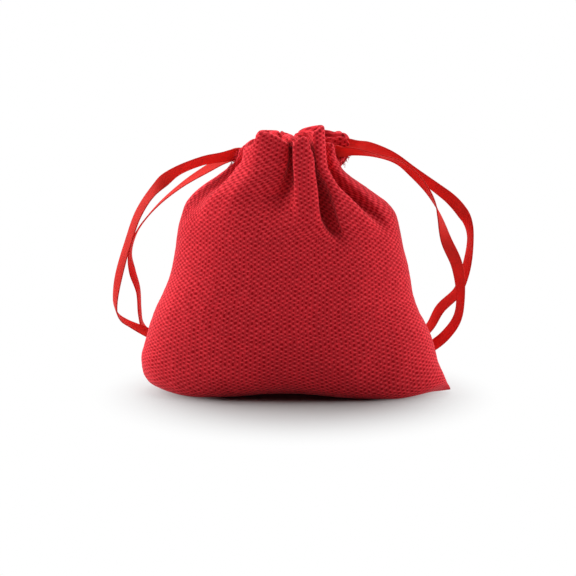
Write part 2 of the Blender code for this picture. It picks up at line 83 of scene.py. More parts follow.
# Levels of the body, then of the hem: outside, over the top, inside.
BODY_LEVELS = 116
HEM_LEVELS = 24
HEM_TALL = 8
# What the camera and the soft boxes look at, the first in millimetres from the floor's
# middle and the second in metres, and the light that the thin ribbon lets through.
CAMERA_TARGET = (-2.0, 0.4, 26.0)
LIGHT_TARGET = (0, 0, 0.03)
SEE_THROUGH = 0.42

# Left and right outline of the filled pouch by height: z, x.
LEFT_SIDE = (
    (0.0, -33.4), (1.6, -35.9), (3.2, -37.3), (5.0, -38.2), (8.4, -38.7), (11.6, -38.1),
    (15.4, -37.1), (20.5, -35.3), (25.5, -33.0), (30.5, -31.1), (35.6, -30.0),
    (40.6, -29.2), (44.4, -28.2), (47.0, -27.3), (49.4, -25.6), (51.9, -22.6),
    (54.4, -19.0), (56.4, -16.6), (58.5, -15.6),
)
RIGHT_SIDE = (
    (0.0, 38.2), (0.7, 38.7), (2.8, 37.6), (5.3, 36.5), (7.9, 35.4), (11.6, 34.6),
    (15.4, 33.4), (20.5, 30.8), (25.5, 29.2), (30.5, 28.4), (35.6, 27.0),
    (40.6, 25.7), (44.4, 24.6), (47.0, 22.8), (49.4, 19.8), (51.9, 16.4),
    (54.4, 12.8), (56.4, 11.0), (58.5, 10.8),
)
# The body by cloth height: s, front y, front z, back y, left seam y and z, right seam
# y and z, squareness at the left and at the right, flat share of the level.
BODY = (
    (0.6, -0.6, 0.0, 0.6, 0.6, 0.6, -2.4, 0.7, 0.62, 0.90, 0.80),
    (11.5, -11.4, 0.0, 11.2, 0.4, 3.0, -2.7, 4.0, 0.62, 0.62, 0.64),
    (14.8, -14.2, 1.1, 13.6, 0.3, 5.0, -2.4, 5.9, 0.66, 0.70, 0.55),
    (19.0, -16.2, 4.4, 15.4, 0.1, 8.2, -1.9, 8.9, 0.72, 0.78, 0.42),
    (25.5, -17.4, 10.8, 16.6, 0.0, 12.8, -1.3, 13.4, 0.78, 0.86, 0.20),
    (33.0, -17.6, 18.3, 16.8, 0.0, 19.1, -0.7, 19.5, 0.76, 0.80, 0.0),
    (41.0, -17.3, 26.3, 16.5, 0.0, 26.4, -0.5, 26.2, 0.74, 0.77, 0.0),
    (48.5, -16.7, 33.8, 16.1, 0.0, 33.4, -0.5, 33.4, 0.74, 0.76, 0.0),
    (54.5, -16.1, 39.7, 15.6, 0.0, 39.2, -0.7, 39.2, 0.76, 0.78, 0.0),
    (59.5, -15.5, 44.6, 15.1, 0.0, 44.0, -1.0, 43.9, 0.82, 0.82, 0.0),
    (63.5, -15.0, 48.6, 14.7, -0.1, 48.0, -1.5, 47.8, 0.92, 0.92, 0.0),
    (67.0, -14.5, 52.0, 14.3, -0.2, 51.6, -2.1, 51.5, 0.96, 0.96, 0.0),
    (69.6, -14.2, 54.4, 13.9, -0.3, 54.2, -2.8, 54.1, 1.0, 1.0, 0.0),
    (71.8, -14.0, 56.4, 13.7, -0.4, 56.4, -3.2, 56.4, 1.0, 1.0, 0.0),
)
NECK_PLACE = 71.8
# Lift of the bottom's edge in the middle: cloth height, front, back.
ARCH = ((0.6, 0.0, 0.0), (6.0, 0.35, 0.0), (11.5, 1.5, 0.0), (14.6, 1.9, 0.2),
        (18.0, 1.5, 0.2), (23.0, 0.7, 0.1), (29.0, 0.15, 0.0), (35.0, 0.0, 0.0),
        (72.0, 0.0, 0.0))
# The hem by share of its height: front panel's left and right edge, its front y, then
# the back panel's right and left edge and its back y.
HEM = (
    (0.0, -16.6, -0.4, 11.0, -3.2, -14.0, 11.0, -3.2, -16.6, -0.4, 13.7),
    (0.25, -15.2, -2.2, 10.4, -4.6, -14.0, 12.2, -1.0, -14.8, 2.0, 13.7),
    (0.5, -14.6, -2.8, 9.7, -5.2, -14.0, 13.1, 0.6, -14.1, 2.8, 13.6),
    (1.0, -14.1, -3.0, 9.2, -5.4, -13.9, 13.5, 1.0, -13.6, 3.0, 13.4),
)
# Top of the hem across each panel: place on the cloth, z.
TOP_FRONT = (
    (-43, 60.9), (-42, 61), (-39, 61.7), (-36, 61.4), (-25.5, 61.3), (-24, 61.4),
    (-22.8, 61.9), (-21, 63.9), (-19.5, 65.2), (-18, 64.8), (-16.5, 64.3), (-15, 63.8),
    (-13.5, 62.9), (-12, 62.6), (-10.5, 63.2), (-9, 63.6), (-7.5, 63.8), (-6, 63.7),
    (-4.5, 63.4), (-3, 62.9), (-1.5, 62.5), (0, 63.3), (1.5, 63.9), (3, 63.1), (4.5, 63),
    (7.5, 63.5), (10.5, 63.8), (13.5, 64.2), (16.5, 64.8), (18, 65.1), (19.5, 65.4),
    (21, 66.1), (22.5, 66.5), (24, 66.2), (25.5, 65.4), (27, 64.6), (30, 63.9), (33, 63.8),
    (36, 63.2), (39, 62.5), (43, 62),
)
TOP_BACK = (
    (-43, 62.4), (-41.5, 63.4), (-40, 64.4), (-39, 64.7), (-36, 64.8), (-33, 64.3),
    (-30, 64.6), (-27, 65), (-24, 64.4), (-18, 63.8), (-9, 63.6), (-6, 63.2), (-3, 62.8),
    (0, 62.8), (3, 62.8), (5, 63.1), (7, 64.3), (9, 64.7), (12, 64.4), (15, 64.4),
    (18, 64.9), (21, 65.2), (24, 65.2), (26, 64.3), (30, 63.9), (34, 63.8), (36, 63.4),
    (38, 62.4), (40, 61.7), (43, 61.2),
)
# The turned hem beside the right slit: x and top, x and foot, its y and its roll.
HEM_CORNER_TOP = ((5.6, 63.2), (7.1, 63.6), (9.1, 63.4), (10.4, 63.7), (11.9, 63.5),
                  (12.6, 62.8), (13.0, 62.0))
HEM_CORNER_FOOT = ((5.6, 59.9), (10.6, 59.9), (10.9, 60.8), (13.0, 61.3))
HEM_CORNER_Y = -2.0
HEM_CORNER_ROLL = 0.3
# Valleys between the ridges of the front's gathered neck, by cloth height: left lip, right
# lip, bottom and depth. The first is placed by its way from the left seam, the others by x.
SIDE_VALLEY = (
    (40, 3.5, 12, 7.7, 0), (56, 3.5, 12, 7.7, 0), (59.5, 3.5, 11.5, 7.5, 0.4),
    (62, 3.5, 11, 7.3, 1.1), (64.8, 3.5, 10.5, 7, 2.2), (67.5, 3, 9.5, 6.4, 3),
    (69.8, 2.2, 8, 5.2, 3.3), (71.8, 1.6, 6.4, 4, 3), (74.8, 1.2, 5, 3, 2),
    (82, 1.2, 4.4, 2.8, 1),
)
FIRST_VALLEY = (
    (40, -11, -1.53, -5.79, 0), (51, -11, -1.05, -5.32, 0),
    (54, -10.53, -0.58, -5.08, 0.15), (57, -9.58, -0.1, -4.61, 0.5),
    (59.5, -8.63, -0.1, -4.13, 1.1), (62, -7.45, -0.22, -3.42, 2),
    (64.8, -6.03, -0.34, -2.71, 3.3), (67.5, -4.61, -0.46, -2, 4.8),
    (69.8, -3.66, -0.58, -1.53, 5.8), (71.8, -2.95, -0.7, -1.29, 6.4),
    (74.8, -2.47, -0.82, -1.29, 6.6), (82, -2.47, -0.82, -1.17, 6.3),
)
SECOND_VALLEY = (
    (40, 9.37, 13.64, 11.5, 0), (51, 8.9, 13.16, 11.03, 0), (54.5, 7.95, 11.98, 9.85, 0.9),
    (57, 6.77, 11.03, 8.6, 3.2), (59.5, 5.58, 10.32, 7.3, 5.5),
    (62, 5.23, 9.73, 6.4, 7.2), (64.8, 5.11, 9.13, 5.8, 7.8),
    (67.5, 4.87, 7.95, 5.0, 7.6), (69.8, 4.75, 6.65, 4.5, 7.1),
    (71.8, 4.63, 5.7, 4.5, 6.9), (74.8, 4.4, 5.2, 4.4, 6.8),
    (77, 3.9, 4.8, 4.1, 6.6), (79, 3.4, 4.5, 3.7, 6.4),
    (82, 3.0, 4.3, 3.4, 6.3),
)
THIRD_VALLEY = (
    (40, 20.74, 24.3, 22.64, 0), (54, 20.27, 23.82, 22.16, 0),
    (57, 19.32, 22.87, 21.22, 0.6), (59.5, 17.66, 21.45, 19.56, 1.7),
    (62, 15.53, 19.56, 17.43, 3), (64.8, 12.69, 16.72, 14.58, 4.3),
    (67.5, 10.08, 13.4, 11.5, 5.2), (69.8, 8.9, 11.27, 9.85, 5.6),
    (71.8, 7.95, 9.61, 8.66, 5.5), (74.8, 7.48, 9.13, 8.19, 5.2), (82, 7, 8.9, 7.95, 4.6),
)
# Each valley with how wide and how deep the rounding of its left lip is.
VALLEYS = ((SIDE_VALLEY, (1.3, 0.4)), (FIRST_VALLEY, (8.5, 2.4)), (SECOND_VALLEY, (1.3, 0.4)),
           (THIRD_VALLEY, (1.6, 0.5)))
# Cloth places of the three ridges' middles, and of the valleys between them.
RIDGES = (-21.0, 2.0, 21.5)
FRONT_FOLDS = ((-34.0,), (-9.0,), (11.0,), (29.5,))
# Folds of the back panel from the neck down: place on the cloth at the top and where it
# fades, how far down it starts to wander, then its weight at falling cloth heights.
FOLD_HEIGHTS = (71.8, 69.8, 67.5, 64.5, 61.0, 57.0, 53.0, 48.0, 43.0)
BACK_FOLDS = (
    (-34.0, -34.0, 0.0, (1.0, 0.95, 0.85, 0.66, 0.42, 0.20, 0.06, 0.0, 0.0)),
    (-17.8, -15.0, 0.2, (1.0, 0.97, 0.92, 0.80, 0.60, 0.36, 0.14, 0.03, 0.0)),
    (-1.2, 0.0, 0.0, (1.0, 0.97, 0.90, 0.74, 0.46, 0.20, 0.05, 0.0, 0.0)),
    (15.2, 18.0, 0.2, (1.0, 0.98, 0.94, 0.84, 0.68, 0.46, 0.22, 0.06, 0.0)),
    (31.6, 32.0, 0.0, (1.0, 0.96, 0.87, 0.70, 0.46, 0.22, 0.08, 0.0, 0.0)),
)

# Each ribbon strand from inside its slit to its knot: x, y, z, then how far its width is
# turned, in degrees, from square to its way as seen from the front.
LEFT_FRONT_STRAND = (
    (-15.0, -0.2, 59.2, -20), (-18.6, -1.9, 58.6, -44), (-22.8, -3.1, 57.8, -50),
    (-29.6, -3.8, 55.0, -42), (-35.0, -3.1, 50.4, 36), (-38.8, -2.1, 44.8, 45),
    (-41.8, -1.1, 37.0, 48), (-44.3, 0.4, 28.9, 45), (-45.5, 2.4, 22.5, 60),
    (-45.5, 4.0, 19.9, 78), (-44.7, 6.2, 17.6, 98), (-42.7, 8.3, 15.8, 114),
    (-38.4, 10.6, 13.2, 139), (-34.0, 14.2, 10.0, 150), (-29.5, 18.2, 6.6, 165),
    (-25.0, 21.0, 4.2, 180), (-20.6, 22.6, 2.8, 180), (-19.4, 22.9, 2.6, 180),
    (-17.2, 24.4, 2.6, 180),
)
LEFT_BACK_STRAND = (
    (-14.6, 1.0, 59.4, 0), (-17.8, 1.8, 58.1, 30), (-22.2, 3.4, 55.6, 45),
    (-29.0, 5.4, 51.3, 65), (-36.0, 6.4, 45.2, 80), (-40.4, 6.4, 39.4, 88),
    (-42.1, 6.4, 34.0, 98), (-41.7, 7.2, 29.5, 117), (-40.4, 8.6, 24.5, 105),
    (-40.3, 10.9, 18.6, 100), (-39.8, 13.2, 14.4, 105), (-37.2, 16.4, 10.6, 125),
    (-32.5, 20.0, 6.6, 145), (-27.2, 23.2, 4.0, 165), (-22.5, 25.0, 2.9, 180),
    (-20.6, 25.4, 2.7, 180), (-17.6, 26.0, 2.6, 180),
)
RIGHT_BACK_STRAND = (
    (11.5, -0.9, 61.9, 0), (14.6, 0.1, 61.4, 30), (17.6, 2.1, 61.2, 41),
    (23.9, 5.4, 58.9, 54), (29.7, 6.9, 54.8, 48), (35.9, 7.4, 50.4, 38),
    (39.3, 6.9, 47.7, 24), (41.7, 6.4, 45.0, 8), (43.3, 5.9, 42.3, 45),
    (44.2, 6.4, 38.0, 66), (43.4, 8.4, 29.5, 48), (41.6, 9.9, 24.0, 42),
    (37.3, 11.4, 19.2, 34), (34.8, 12.4, 14.4, 45), (31.0, 15.9, 10.0, 60),
    (27.5, 19.2, 6.5, 75), (24.2, 21.4, 4.0, 90), (22.8, 21.9, 3.3, 90),
    (20.8, 23.7, 2.7, 110),
)
RIGHT_FRONT_STRAND = (
    (9.1, -3.2, 60.2, 0), (11.6, -4.2, 60.0, 44), (13.6, -4.8, 60.1, 56),
    (18.9, -4.6, 59.2, 80), (24.8, -3.6, 57.5, 73), (28.9, -3.0, 54.3, 60),
    (32.2, -2.6, 50.5, 73), (34.1, -2.6, 47.2, 90), (35.3, -2.6, 44.0, 115),
    (37.0, -2.6, 38.3, 163), (39.9, -1.6, 31.9, 203), (41.4, 2.4, 23.0, 234),
    (41.0, 5.9, 17.3, 228), (38.4, 9.9, 12.3, 213), (35.0, 14.0, 8.6, 205),
    (31.5, 17.9, 5.8, 195), (28.0, 21.4, 3.6, 185), (25.0, 23.6, 2.6, 180),
    (24.0, 24.1, 2.4, 180), (21.2, 24.7, 2.4, 180),
)
# The ribbon turned upright beside the slits: x, y, z.
LEFT_FRONT_INSIDE = ((-9.6, -0.6, 58.6), (-12.4, -0.3, 58.9))
LEFT_BACK_INSIDE = ((-9.6, 1.4, 58.6), (-12.2, 1.1, 59.2))
RIGHT_BACK_INSIDE = ((5.4, 1.5, 61.6), (8.6, 0.1, 61.8))
RIGHT_FRONT_INSIDE = ((4.8, -2.6, 61.0), (7.0, -2.9, 60.6))
LEFT_RING_ANGLES = (222, 262, 302, 342, 22, 62, 102, 138)
RIGHT_RING_ANGLES = (38, 78, 118, 158, 198, 238, 282, 318)
# Both cut tails of each knot, lying on the floor.
LEFT_TAILS = (
    ((-15.0, 26.4, 2.6), (-12.2, 27.6, 2.2), (-9.6, 28.3, 1.9), (-7.0, 28.4, 1.8)),
    ((-15.4, 25.4, 1.9), (-12.4, 25.2, 1.8), (-9.8, 24.3, 1.8), (-7.8, 23.2, 1.7)),
)
RIGHT_TAILS = (
    ((18.8, 25.2, 2.6), (15.8, 26.2, 2.1), (13.2, 26.6, 1.9), (10.8, 26.2, 1.8)),
    ((19.0, 24.4, 1.9), (16.0, 23.8, 1.8), (13.6, 22.6, 1.8), (11.8, 21.2, 1.7)),
)

# The sheet of paper, in metres: half its width, where it bends up behind the pouch, the
# radius of the bend, its height, and half the oval of painted shade, dim paper with its real
# shade, round the pouch.
PAPER_HALF = 6.0
PAPER_BACK = 0.9
PAPER_BEND = 0.5
PAPER_TOP = 3.0
PAPER_SHADE_OVAL = (0.056, 0.066, 0.066)


# Settings that a user would change.

class PouchClothSettings(bpy.types.PropertyGroup):
    """Cloth of the pouch."""

    thickness: bpy.props.FloatProperty(
        name="Thickness", description="Thickness of the linen in millimetres",
        default=0.6, min=0.2, max=1.5)
    warp_pitch: bpy.props.FloatProperty(
        name="Warp pitch", description="Width of one upright thread in millimetres",
        default=1.03, min=0.3, max=3.0)
    weft_pitch: bpy.props.FloatProperty(
        name="Weft pitch", description="Height of one crosswise thread in millimetres",
        default=0.565, min=0.2, max=3.0)
    hem_radius: bpy.props.FloatProperty(
        name="Hem radius", description="Roundness of the turned top edge in millimetres",
        default=0.75, min=0.3, max=2.0)
    crumple: bpy.props.FloatProperty(
        name="Crumple", description="Height of the soft unevenness in millimetres",
        default=0.35, min=0.0, max=2.0)
    fray_threads: bpy.props.IntProperty(
        name="Loose threads", description="Loose threads at each level of the slits' edges",
        default=3, min=0, max=20)
    fray_length: bpy.props.FloatProperty(
        name="Thread length", description="Longest loose thread in millimetres", default=1.3,
        min=0.2, max=6.0)
    column_step: bpy.props.FloatProperty(
        name="Mesh step", description="Widest mesh column along the cloth in millimetres",
        default=0.66, min=0.4, max=3.0)
    colour: bpy.props.FloatVectorProperty(
        name="Linen colour", description="Colour of the linen threads", subtype="COLOR",
        size=3, min=0.0, max=1.0, default=(0.72, 0.023, 0.036))
    # Pinkish painted highlight on top of the threads.
    knuckle_highlight_colour: bpy.props.FloatVectorProperty(
        name="Knuckle colour", description="Colour on top of the threads", subtype="COLOR",
        size=3, min=0.0, max=1.0, default=(0.84, 0.080, 0.095))
    # Painted shade deep between the threads; the loose threads also take it as their darker
    # tone.
    gap_shade_colour: bpy.props.FloatVectorProperty(
        name="Gap colour", description="Colour deep between the threads", subtype="COLOR",
        size=3, min=0.0, max=1.0, default=(0.33, 0.002, 0.006))


class PouchRibbonSettings(bpy.types.PropertyGroup):
    """The two satin drawstrings."""

    width: bpy.props.FloatProperty(
        name="Width", description="Width of the ribbon in millimetres", default=3.0,
        min=1.0, max=8.0)
    thickness: bpy.props.FloatProperty(
        name="Thickness", description="Thickness of the ribbon in millimetres", default=0.22,
        min=0.1, max=0.6)
    step: bpy.props.FloatProperty(
        name="Mesh step", description="Length of one mesh step in millimetres", default=0.6,
        min=0.2, max=3.0)
    colour: bpy.props.FloatVectorProperty(
        name="Satin colour", description="Colour of the satin", subtype="COLOR", size=3,
        min=0.0, max=1.0, default=(0.84, 0.042, 0.034))


class PouchStudioSettings(bpy.types.PropertyGroup):
    """Camera and light."""

    lens: bpy.props.FloatProperty(
        name="Lens", description="Focal length of the camera in millimetres", default=85.0,
        min=20.0, max=300.0)
    distance: bpy.props.FloatProperty(
        name="Distance", description="Camera distance in millimetres", default=340.0,
        min=100.0, max=2000.0)
    elevation: bpy.props.FloatProperty(
        name="Elevation", description="Camera height angle in degrees", default=7.0,
        min=-10.0, max=80.0)
    side_power: bpy.props.FloatProperty(
        name="Side light",
        description="Power of the left soft box in watts; the right one has 80 %", default=1.2,
        min=0.0, max=100.0)
    top_power: bpy.props.FloatProperty(
        name="Top light", description="Power of the top soft box in watts", default=0.9,
        min=0.0, max=100.0)
    room: bpy.props.FloatProperty(
        name="Room light", description="Strength of the light from the room all round",
        default=0.03, min=0.0, max=10.0)
    # Whiteness of the dim paper in the painted shade oval near the pouch.
    paper: bpy.props.FloatProperty(
        name="Paper", description="Whiteness of the paper near the pouch", default=0.40,
        min=0.0, max=1.0)


# Curves and folds.

def smooth(keys, at):
    """Values of the keyed rows at the given places, on a smooth curve with no overshoot."""
    keys = np.array(keys, dtype=float)
    x = keys[:, 0]
    y = keys[:, 1:]
    step = np.diff(x)[:, None]
    rate = np.diff(y, axis=0) / step
    slope = np.zeros_like(y)
    slope[0] = rate[0]
    slope[-1] = rate[-1]
    same = rate[:-1] * rate[1:] > 0
    before = np.where(same, rate[:-1], 1.0)
    after = np.where(same, rate[1:], 1.0)
    w1 = 2 * step[1:] + step[:-1]
    w2 = step[1:] + 2 * step[:-1]
    slope[1:-1] = np.where(same, (w1 + w2) / (w1 / before + w2 / after), 0.0)
    at = np.clip(np.atleast_1d(np.array(at, dtype=float)), x[0], x[-1])
    i = np.clip(np.searchsorted(x, at, side="right") - 1, 0, len(x) - 2)
    h = x[i + 1] - x[i]
    t = ((at - x[i]) / h)[:, None]
    h = h[:, None]
    return (
        y[i] * (1 + 2 * t) * (1 - t) ** 2
        + slope[i] * h * t * (1 - t) ** 2
        + y[i + 1] * t * t * (3 - 2 * t)
        + slope[i + 1] * h * t * t * (t - 1)
    )


def ease(x):
    """0 below 0, 1 above 1, smooth between."""
    x = np.clip(x, 0.0, 1.0)
    return x * x * (3 - 2 * x)


def running_sum(values, places):
    """Integral of the values from the first place on."""
    part = (values[1:] + values[:-1]) / 2 * np.diff(places)
    return np.concatenate([[0.0], np.cumsum(part)])


def arc_length(points):
    """Way along a line of points, from its first point to each."""
    return np.concatenate([[0], np.cumsum(np.linalg.norm(np.diff(points, axis=0), axis=1))])


def looked_up(at, way, rows):
    """Rows of numbers that are known along a way, at other places of it."""
    return np.stack([np.interp(at, way, column) for column in rows.T], axis=1)


def square_to(ahead):
    """Plan directions square to the given ones, to their left."""
    return np.stack([-ahead[:, 1], ahead[:, 0]], axis=1)


def cloth_angle(q, folds, steep):
    """Angle between the cloth and the outline of its panel, all along the cloth."""
    angle = np.zeros_like(q)
    for place, weight in folds:
        side = q - place
        inner = 1 - np.abs(side) / FOLD_REACH
        crest = np.clip(inner * FOLD_REACH / CREST_LENGTH, 0.0, 1.0)
        root = np.clip((1 - inner) * FOLD_REACH / ROOT_LENGTH, 0.0, 1.0)
        angle -= np.sign(side) * steep * weight * crest * root
    return angle


def fold_depth(q, folds, girth):
    """Depth of the folds below an outline of this length, and the cloth's angle to it.

    The folds turn as far as the spare cloth needs.
    """
    low, high = 0.0, math.radians(STEEPEST)
    for turn in range(20):
        steep = (low + high) / 2
        if running_sum(np.cos(cloth_angle(q, folds, steep)), q)[-1] > girth:
            low = steep
        else:
            high = steep
    angle = cloth_angle(q, folds, (low + high) / 2)
    return running_sum(np.sin(angle), q), angle


def base_outline(start, end, middle, square):
    """Smooth plan outline of one panel, from its first seam by its middle to its last."""
    phi = np.linspace(0.0, math.pi, 721)
    share = (1 - np.cos(phi)) / 2
    x = start[0] + (end[0] - start[0]) * share
    power = square[0] + (square[1] - square[0]) * share
    chord = start[1] + (end[1] - start[1]) * share
    y = chord + (middle - (start[1] + end[1]) / 2) * np.sin(phi).clip(0, 1) ** power
    return np.stack([x, y], axis=1), np.abs(np.cos(phi)), share


def along(points, q):
    """Unit direction of a line of plan points."""
    step = np.gradient(points, q, axis=0)
    return step / np.maximum(np.linalg.norm(step, axis=1, keepdims=True), 1e-9)


def panel_level(start, end, middle, square, folds):
    """Plan of one panel at one level, all along the cloth."""
    q = np.linspace(-HALF, HALF, 1601)
    outline, side, share = base_outline(start, end, middle, square)
    way = arc_length(outline)
    heading = along(outline, way)
    depth, turned = fold_depth(q, folds, way[-1])
    made = running_sum(np.cos(turned), q)
    place = made / made[-1] * way[-1]
    base = looked_up(place, way, outline)
    ahead = looked_up(place, way, heading)
    inward = square_to(ahead)
    line = base + inward * depth[:, None]
    ahead = along(line, q)
    inward = square_to(ahead)
    # The hem's inner side is gathered evenly, without the folds.
    even = running_sum(np.cos(turned).clip(0.15, 1.0), q)
    even = even / even[-1] * way[-1]
    plain = looked_up(even, way, outline)
    flat = np.interp(place, way, side)
    half = np.interp(place, way, share)
    return q, line, inward, depth, plain, flat, half


def valley_controls(table, slope, s, outline, way, ahead, last, first):
    """Controls of one valley and of the ridge before it.

    Each is x, y, z, way along the outline, then the offset from it. Also returns the
    ridge's middle and the valley's end.
    """
    def on(w):
        at = np.array([np.interp(w, way, outline[:, k]) for k in (0, 1)])
        go = [np.interp(w, way, ahead[:, k]) for k in (0, 1)]
        return at, np.array([-go[1], go[0]])

    left, right, low, depth = smooth(table, s)[0]
    sunk = min(1.0, depth / 0.25)

    def control(w, point):
        offset = (point - on(w)[0]) * sunk
        return (*(on(w)[0] + offset), 0.0, w, *offset)

    if not first:
        left, right, low = (float(np.interp(x, outline[:, 0], way)) for x in (left, right, low))
    right = min(right, way[-1] - 1.4)
    left = min(left, right - 0.7)
    low = min(low, right - 0.1)
    near = min(1.0, depth / 3.0)
    shoulder, sink = slope
    before = left - min(shoulder, (left - last) * 0.6)
    middle = (last + before) / 2
    bottom = on(low)[0] + on(low)[1] * depth
    lips = [on(left)[0] + on(left)[1] * sink * near, on(right)[0] + on(right)[1] * 0.4 * near]
    broad = lips[1] - lips[0]
    foot = broad / max(np.linalg.norm(broad), 1e-6) * (0.05 + 0.35 * near)
    after = right + min(1.3, (way[-1] - right) * 0.3)
    rows = [control(middle, on(middle)[0]), control(before, on(before)[0]),
            control(left, lips[0]),
            control(left + (low - left) * 0.5, lips[0] + (bottom - foot - lips[0]) * 0.5),
            control(low - 0.05, bottom - foot), control(low + 0.05, bottom + foot),
            control(right + (low - right) * 0.5,
                    lips[1] + (bottom + foot - lips[1]) * 0.5 + broad * 0.2 * near),
            control(right, lips[1]), control(after, on(after)[0])]
    return rows, middle, after


def front_level(start, end, middle, square, s):
    """Plan of the front panel at one cloth height, through its ridges and valleys."""
    outline, side, share = base_outline(start, end, middle, square)
    way = arc_length(outline)
    ahead = along(outline, way)
    rows = [(*outline[0], 0.0, 0.0, 0.0, 0.0)]
    ridges = []
    last = 0.0
    for k, (table, slope) in enumerate(VALLEYS):
        made, ridge, last = valley_controls(table, slope, s, outline, way, ahead, last, k == 0)
        rows += made
        if k:
            ridges.append(ridge)
    rows.append((*outline[-1], 0.0, way[-1], 0.0, 0.0))
    fine = through(rows, np.linspace(0, 1, 2401))
    w = np.clip(fine[:, 3], 0, way[-1])
    offset = fine[:, 4:6]
    drawn = looked_up(w, way, outline) + offset
    arc = arc_length(drawn)
    deep = np.linalg.norm(offset, axis=1)
    # The threads keep their pitch on the ridges; the valleys take up what is left.
    spare = ease(deep / 1.6)
    place = np.interp([*ridges], w, arc)
    marks = [0.0, *place, arc[-1]]
    cloth = [-HALF, *RIDGES, HALF]
    rate = np.ones_like(arc)
    for k in range(len(cloth) - 1):
        part = (arc >= marks[k]) & (arc <= marks[k + 1])
        length = marks[k + 1] - marks[k]
        taken = max(spare[part].mean() * length, 0.05 * length)
        more = (cloth[k + 1] - cloth[k] - length) / taken
        rate[part] = np.maximum(1 + more * spare[part], 0.3)
        rate[part] *= (cloth[k + 1] - cloth[k]) / max(rate[part].mean() * length, 1e-6)
    threaded = running_sum(rate, arc)
    threaded = -HALF + 2 * HALF * threaded / threaded[-1]
    even = -HALF + 2 * HALF * arc / arc[-1]
    share_of = float(ease((s - 50.0) / 14.0))
    q_of = even + (threaded - even) * share_of
    q = np.linspace(-HALF, HALF, 2401)
    line = looked_up(q, q_of, drawn)
    w = np.interp(q, q_of, w)
    depth = np.interp(q, q_of, deep)
    heading = along(line, q)
    inward = square_to(heading)
    evenly = (q + HALF) / (2 * HALF) * way[-1]
    plain = looked_up(evenly, way, outline)
    return q, line, inward, depth, plain, np.interp(w, way, side), np.interp(w, way, share)


def folds_at(table, height):
    """Place and weight of each fold at one cloth height of the body."""
    made = []
    for top, foot, start, weights in table:
        down = (FOLD_HEIGHTS[0] - height) / (FOLD_HEIGHTS[0] - FOLD_HEIGHTS[-1])
        keys = tuple(zip(FOLD_HEIGHTS[::-1], weights[::-1]))
        weight = float(smooth(keys, height)[0, 0]) if height > FOLD_HEIGHTS[-1] else 0.0
        place = top + (foot - top) * float(ease((down - start) / 0.46))
        made.append((place, weight))
    return made


def cloth_columns(table, step):
    """Places of the mesh columns across one panel, close together in the folds."""
    fine = np.linspace(-HALF, HALF, 2001)
    density = np.full_like(fine, 1.0 / step)
    for fold in table:
        near = np.exp(-(((fine - fold[0]) / 2.2) ** 2))
        density += near * 0.7 / step
    count = running_sum(density, fine)
    total = int(count[-1])
    return np.interp(np.linspace(0, count[-1], total + 1), count, fine)


def across(places, q, *values):
    """The values of a fine line at the places of the mesh columns."""
    return [np.interp(places, q, value) for value in values]


def body_level(s, back, places, table):
    """Points of one panel at one cloth height of the body."""
    row = smooth(BODY, s)[0]
    yf, zf, yb, yl, zl, yr, zr, square_l, square_r, flat_share = row
    left = (float(smooth(LEFT_SIDE, zl)[0, 0]), yl)
    right = (float(smooth(RIGHT_SIDE, zr)[0, 0]), yr)
    if back:
        made = panel_level(right, left, yb, (square_r, square_l), folds_at(table, s))
    else:
        made = front_level(left, right, yf, (square_l, square_r), s)
    q, line, inward, depth, plain, side, half = made
    power = 2.4 - 0.4 * min(1.0, flat_share / 0.2)
    lift = ((side - flat_share) / (1 - flat_share)).clip(0, 1) ** power
    first, last = (zr, zl) if back else (zl, zr)
    seam = np.where(half < 0.5, first, last)
    z = zf + (seam - zf) * lift
    arch = float(smooth(ARCH, s)[0, 1 if back else 0])
    x_mid = 12.0 if back else -2.0
    z = z + arch * np.exp(-(((line[:, 0] - x_mid) / 12.5) ** 2))
    return np.stack(across(places, q, line[:, 0], line[:, 1], z), axis=1)


def hem_level(share, back, table):
    """Fine plan of one panel of the hem."""
    row = smooth(HEM, share)[0]
    if back:
        folds = [(fold[0], 1.0) for fold in table]
        return panel_level(row[5:7], row[7:9], row[9], (1.0, 1.0), folds)
    return front_level(row[0:2], row[2:4], row[4], (1.0, 1.0), NECK_PLACE + HEM_TALL * share)


def hem_levels(back, places, table, cloth):
    """Levels of the hem: up the outside, over the top and down the inside of the channel.

    Each is its points and its cloth height.
    """
    radius = cloth.hem_radius
    top = smooth(TOP_BACK if back else TOP_FRONT, places)[:, 0]
    tall = top - radius - STITCH_Z
    shrink = cloth.thickness + 0.45
    oval = (NECK_RING[0] - shrink, NECK_RING[1] - shrink)
    levels = []
    for share in np.linspace(0, 1, 13)[1:]:
        q, line, inward, depth, plain, side, half = hem_level(share, back, table)
        x, y = across(places, q, line[:, 0], line[:, 1])
        levels.append((np.stack([x, y, STITCH_Z + tall * share], axis=1),
                       NECK_PLACE + tall * share))
    outer = levels[-1][0][:, :2]
    toward = np.stack(across(places, q, inward[:, 0], inward[:, 1]), axis=1)
    deep = across(places, q, depth)[0] / depth.max()
    nested = outer + toward * 2 * radius
    out = np.stack(across(places, q, plain[:, 0], plain[:, 1]), axis=1)
    angle = np.arctan2((out[:, 1] - NECK_CENTRE[1] + 0.4) / oval[1],
                       (out[:, 0] - NECK_CENTRE[0]) / oval[0])
    inner = np.stack([NECK_CENTRE[0] + oval[0] * np.cos(angle),
                      NECK_CENTRE[1] - 0.4 + oval[1] * np.sin(angle)], axis=1)
    near = ease((deep - 0.04) / 0.3)[:, None]
    over = nested + (inner - nested) * near
    place = NECK_PLACE + tall
    for turn in (0.06, 0.2, 0.4, 0.62, 0.82, 0.95, 1.0):
        up = math.sqrt(max(0.0, 1 - (2 * turn - 1) ** 2))
        plan = outer + (over - outer) * turn
        levels.append((np.column_stack([plan, top - radius * (1 - up)]),
                       place + 2.3 * turn))
    foot = STITCH_Z + 0.3
    for down in (0.12, 0.3, 0.55, 0.8, 1.0):
        z = (top - radius) + (foot - top + radius) * down
        plan = over + (inner - over) * float(ease(down / 0.3))
        levels.append((np.column_stack([plan, z]), place + 2.3 + (top - radius - z)))
    return levels


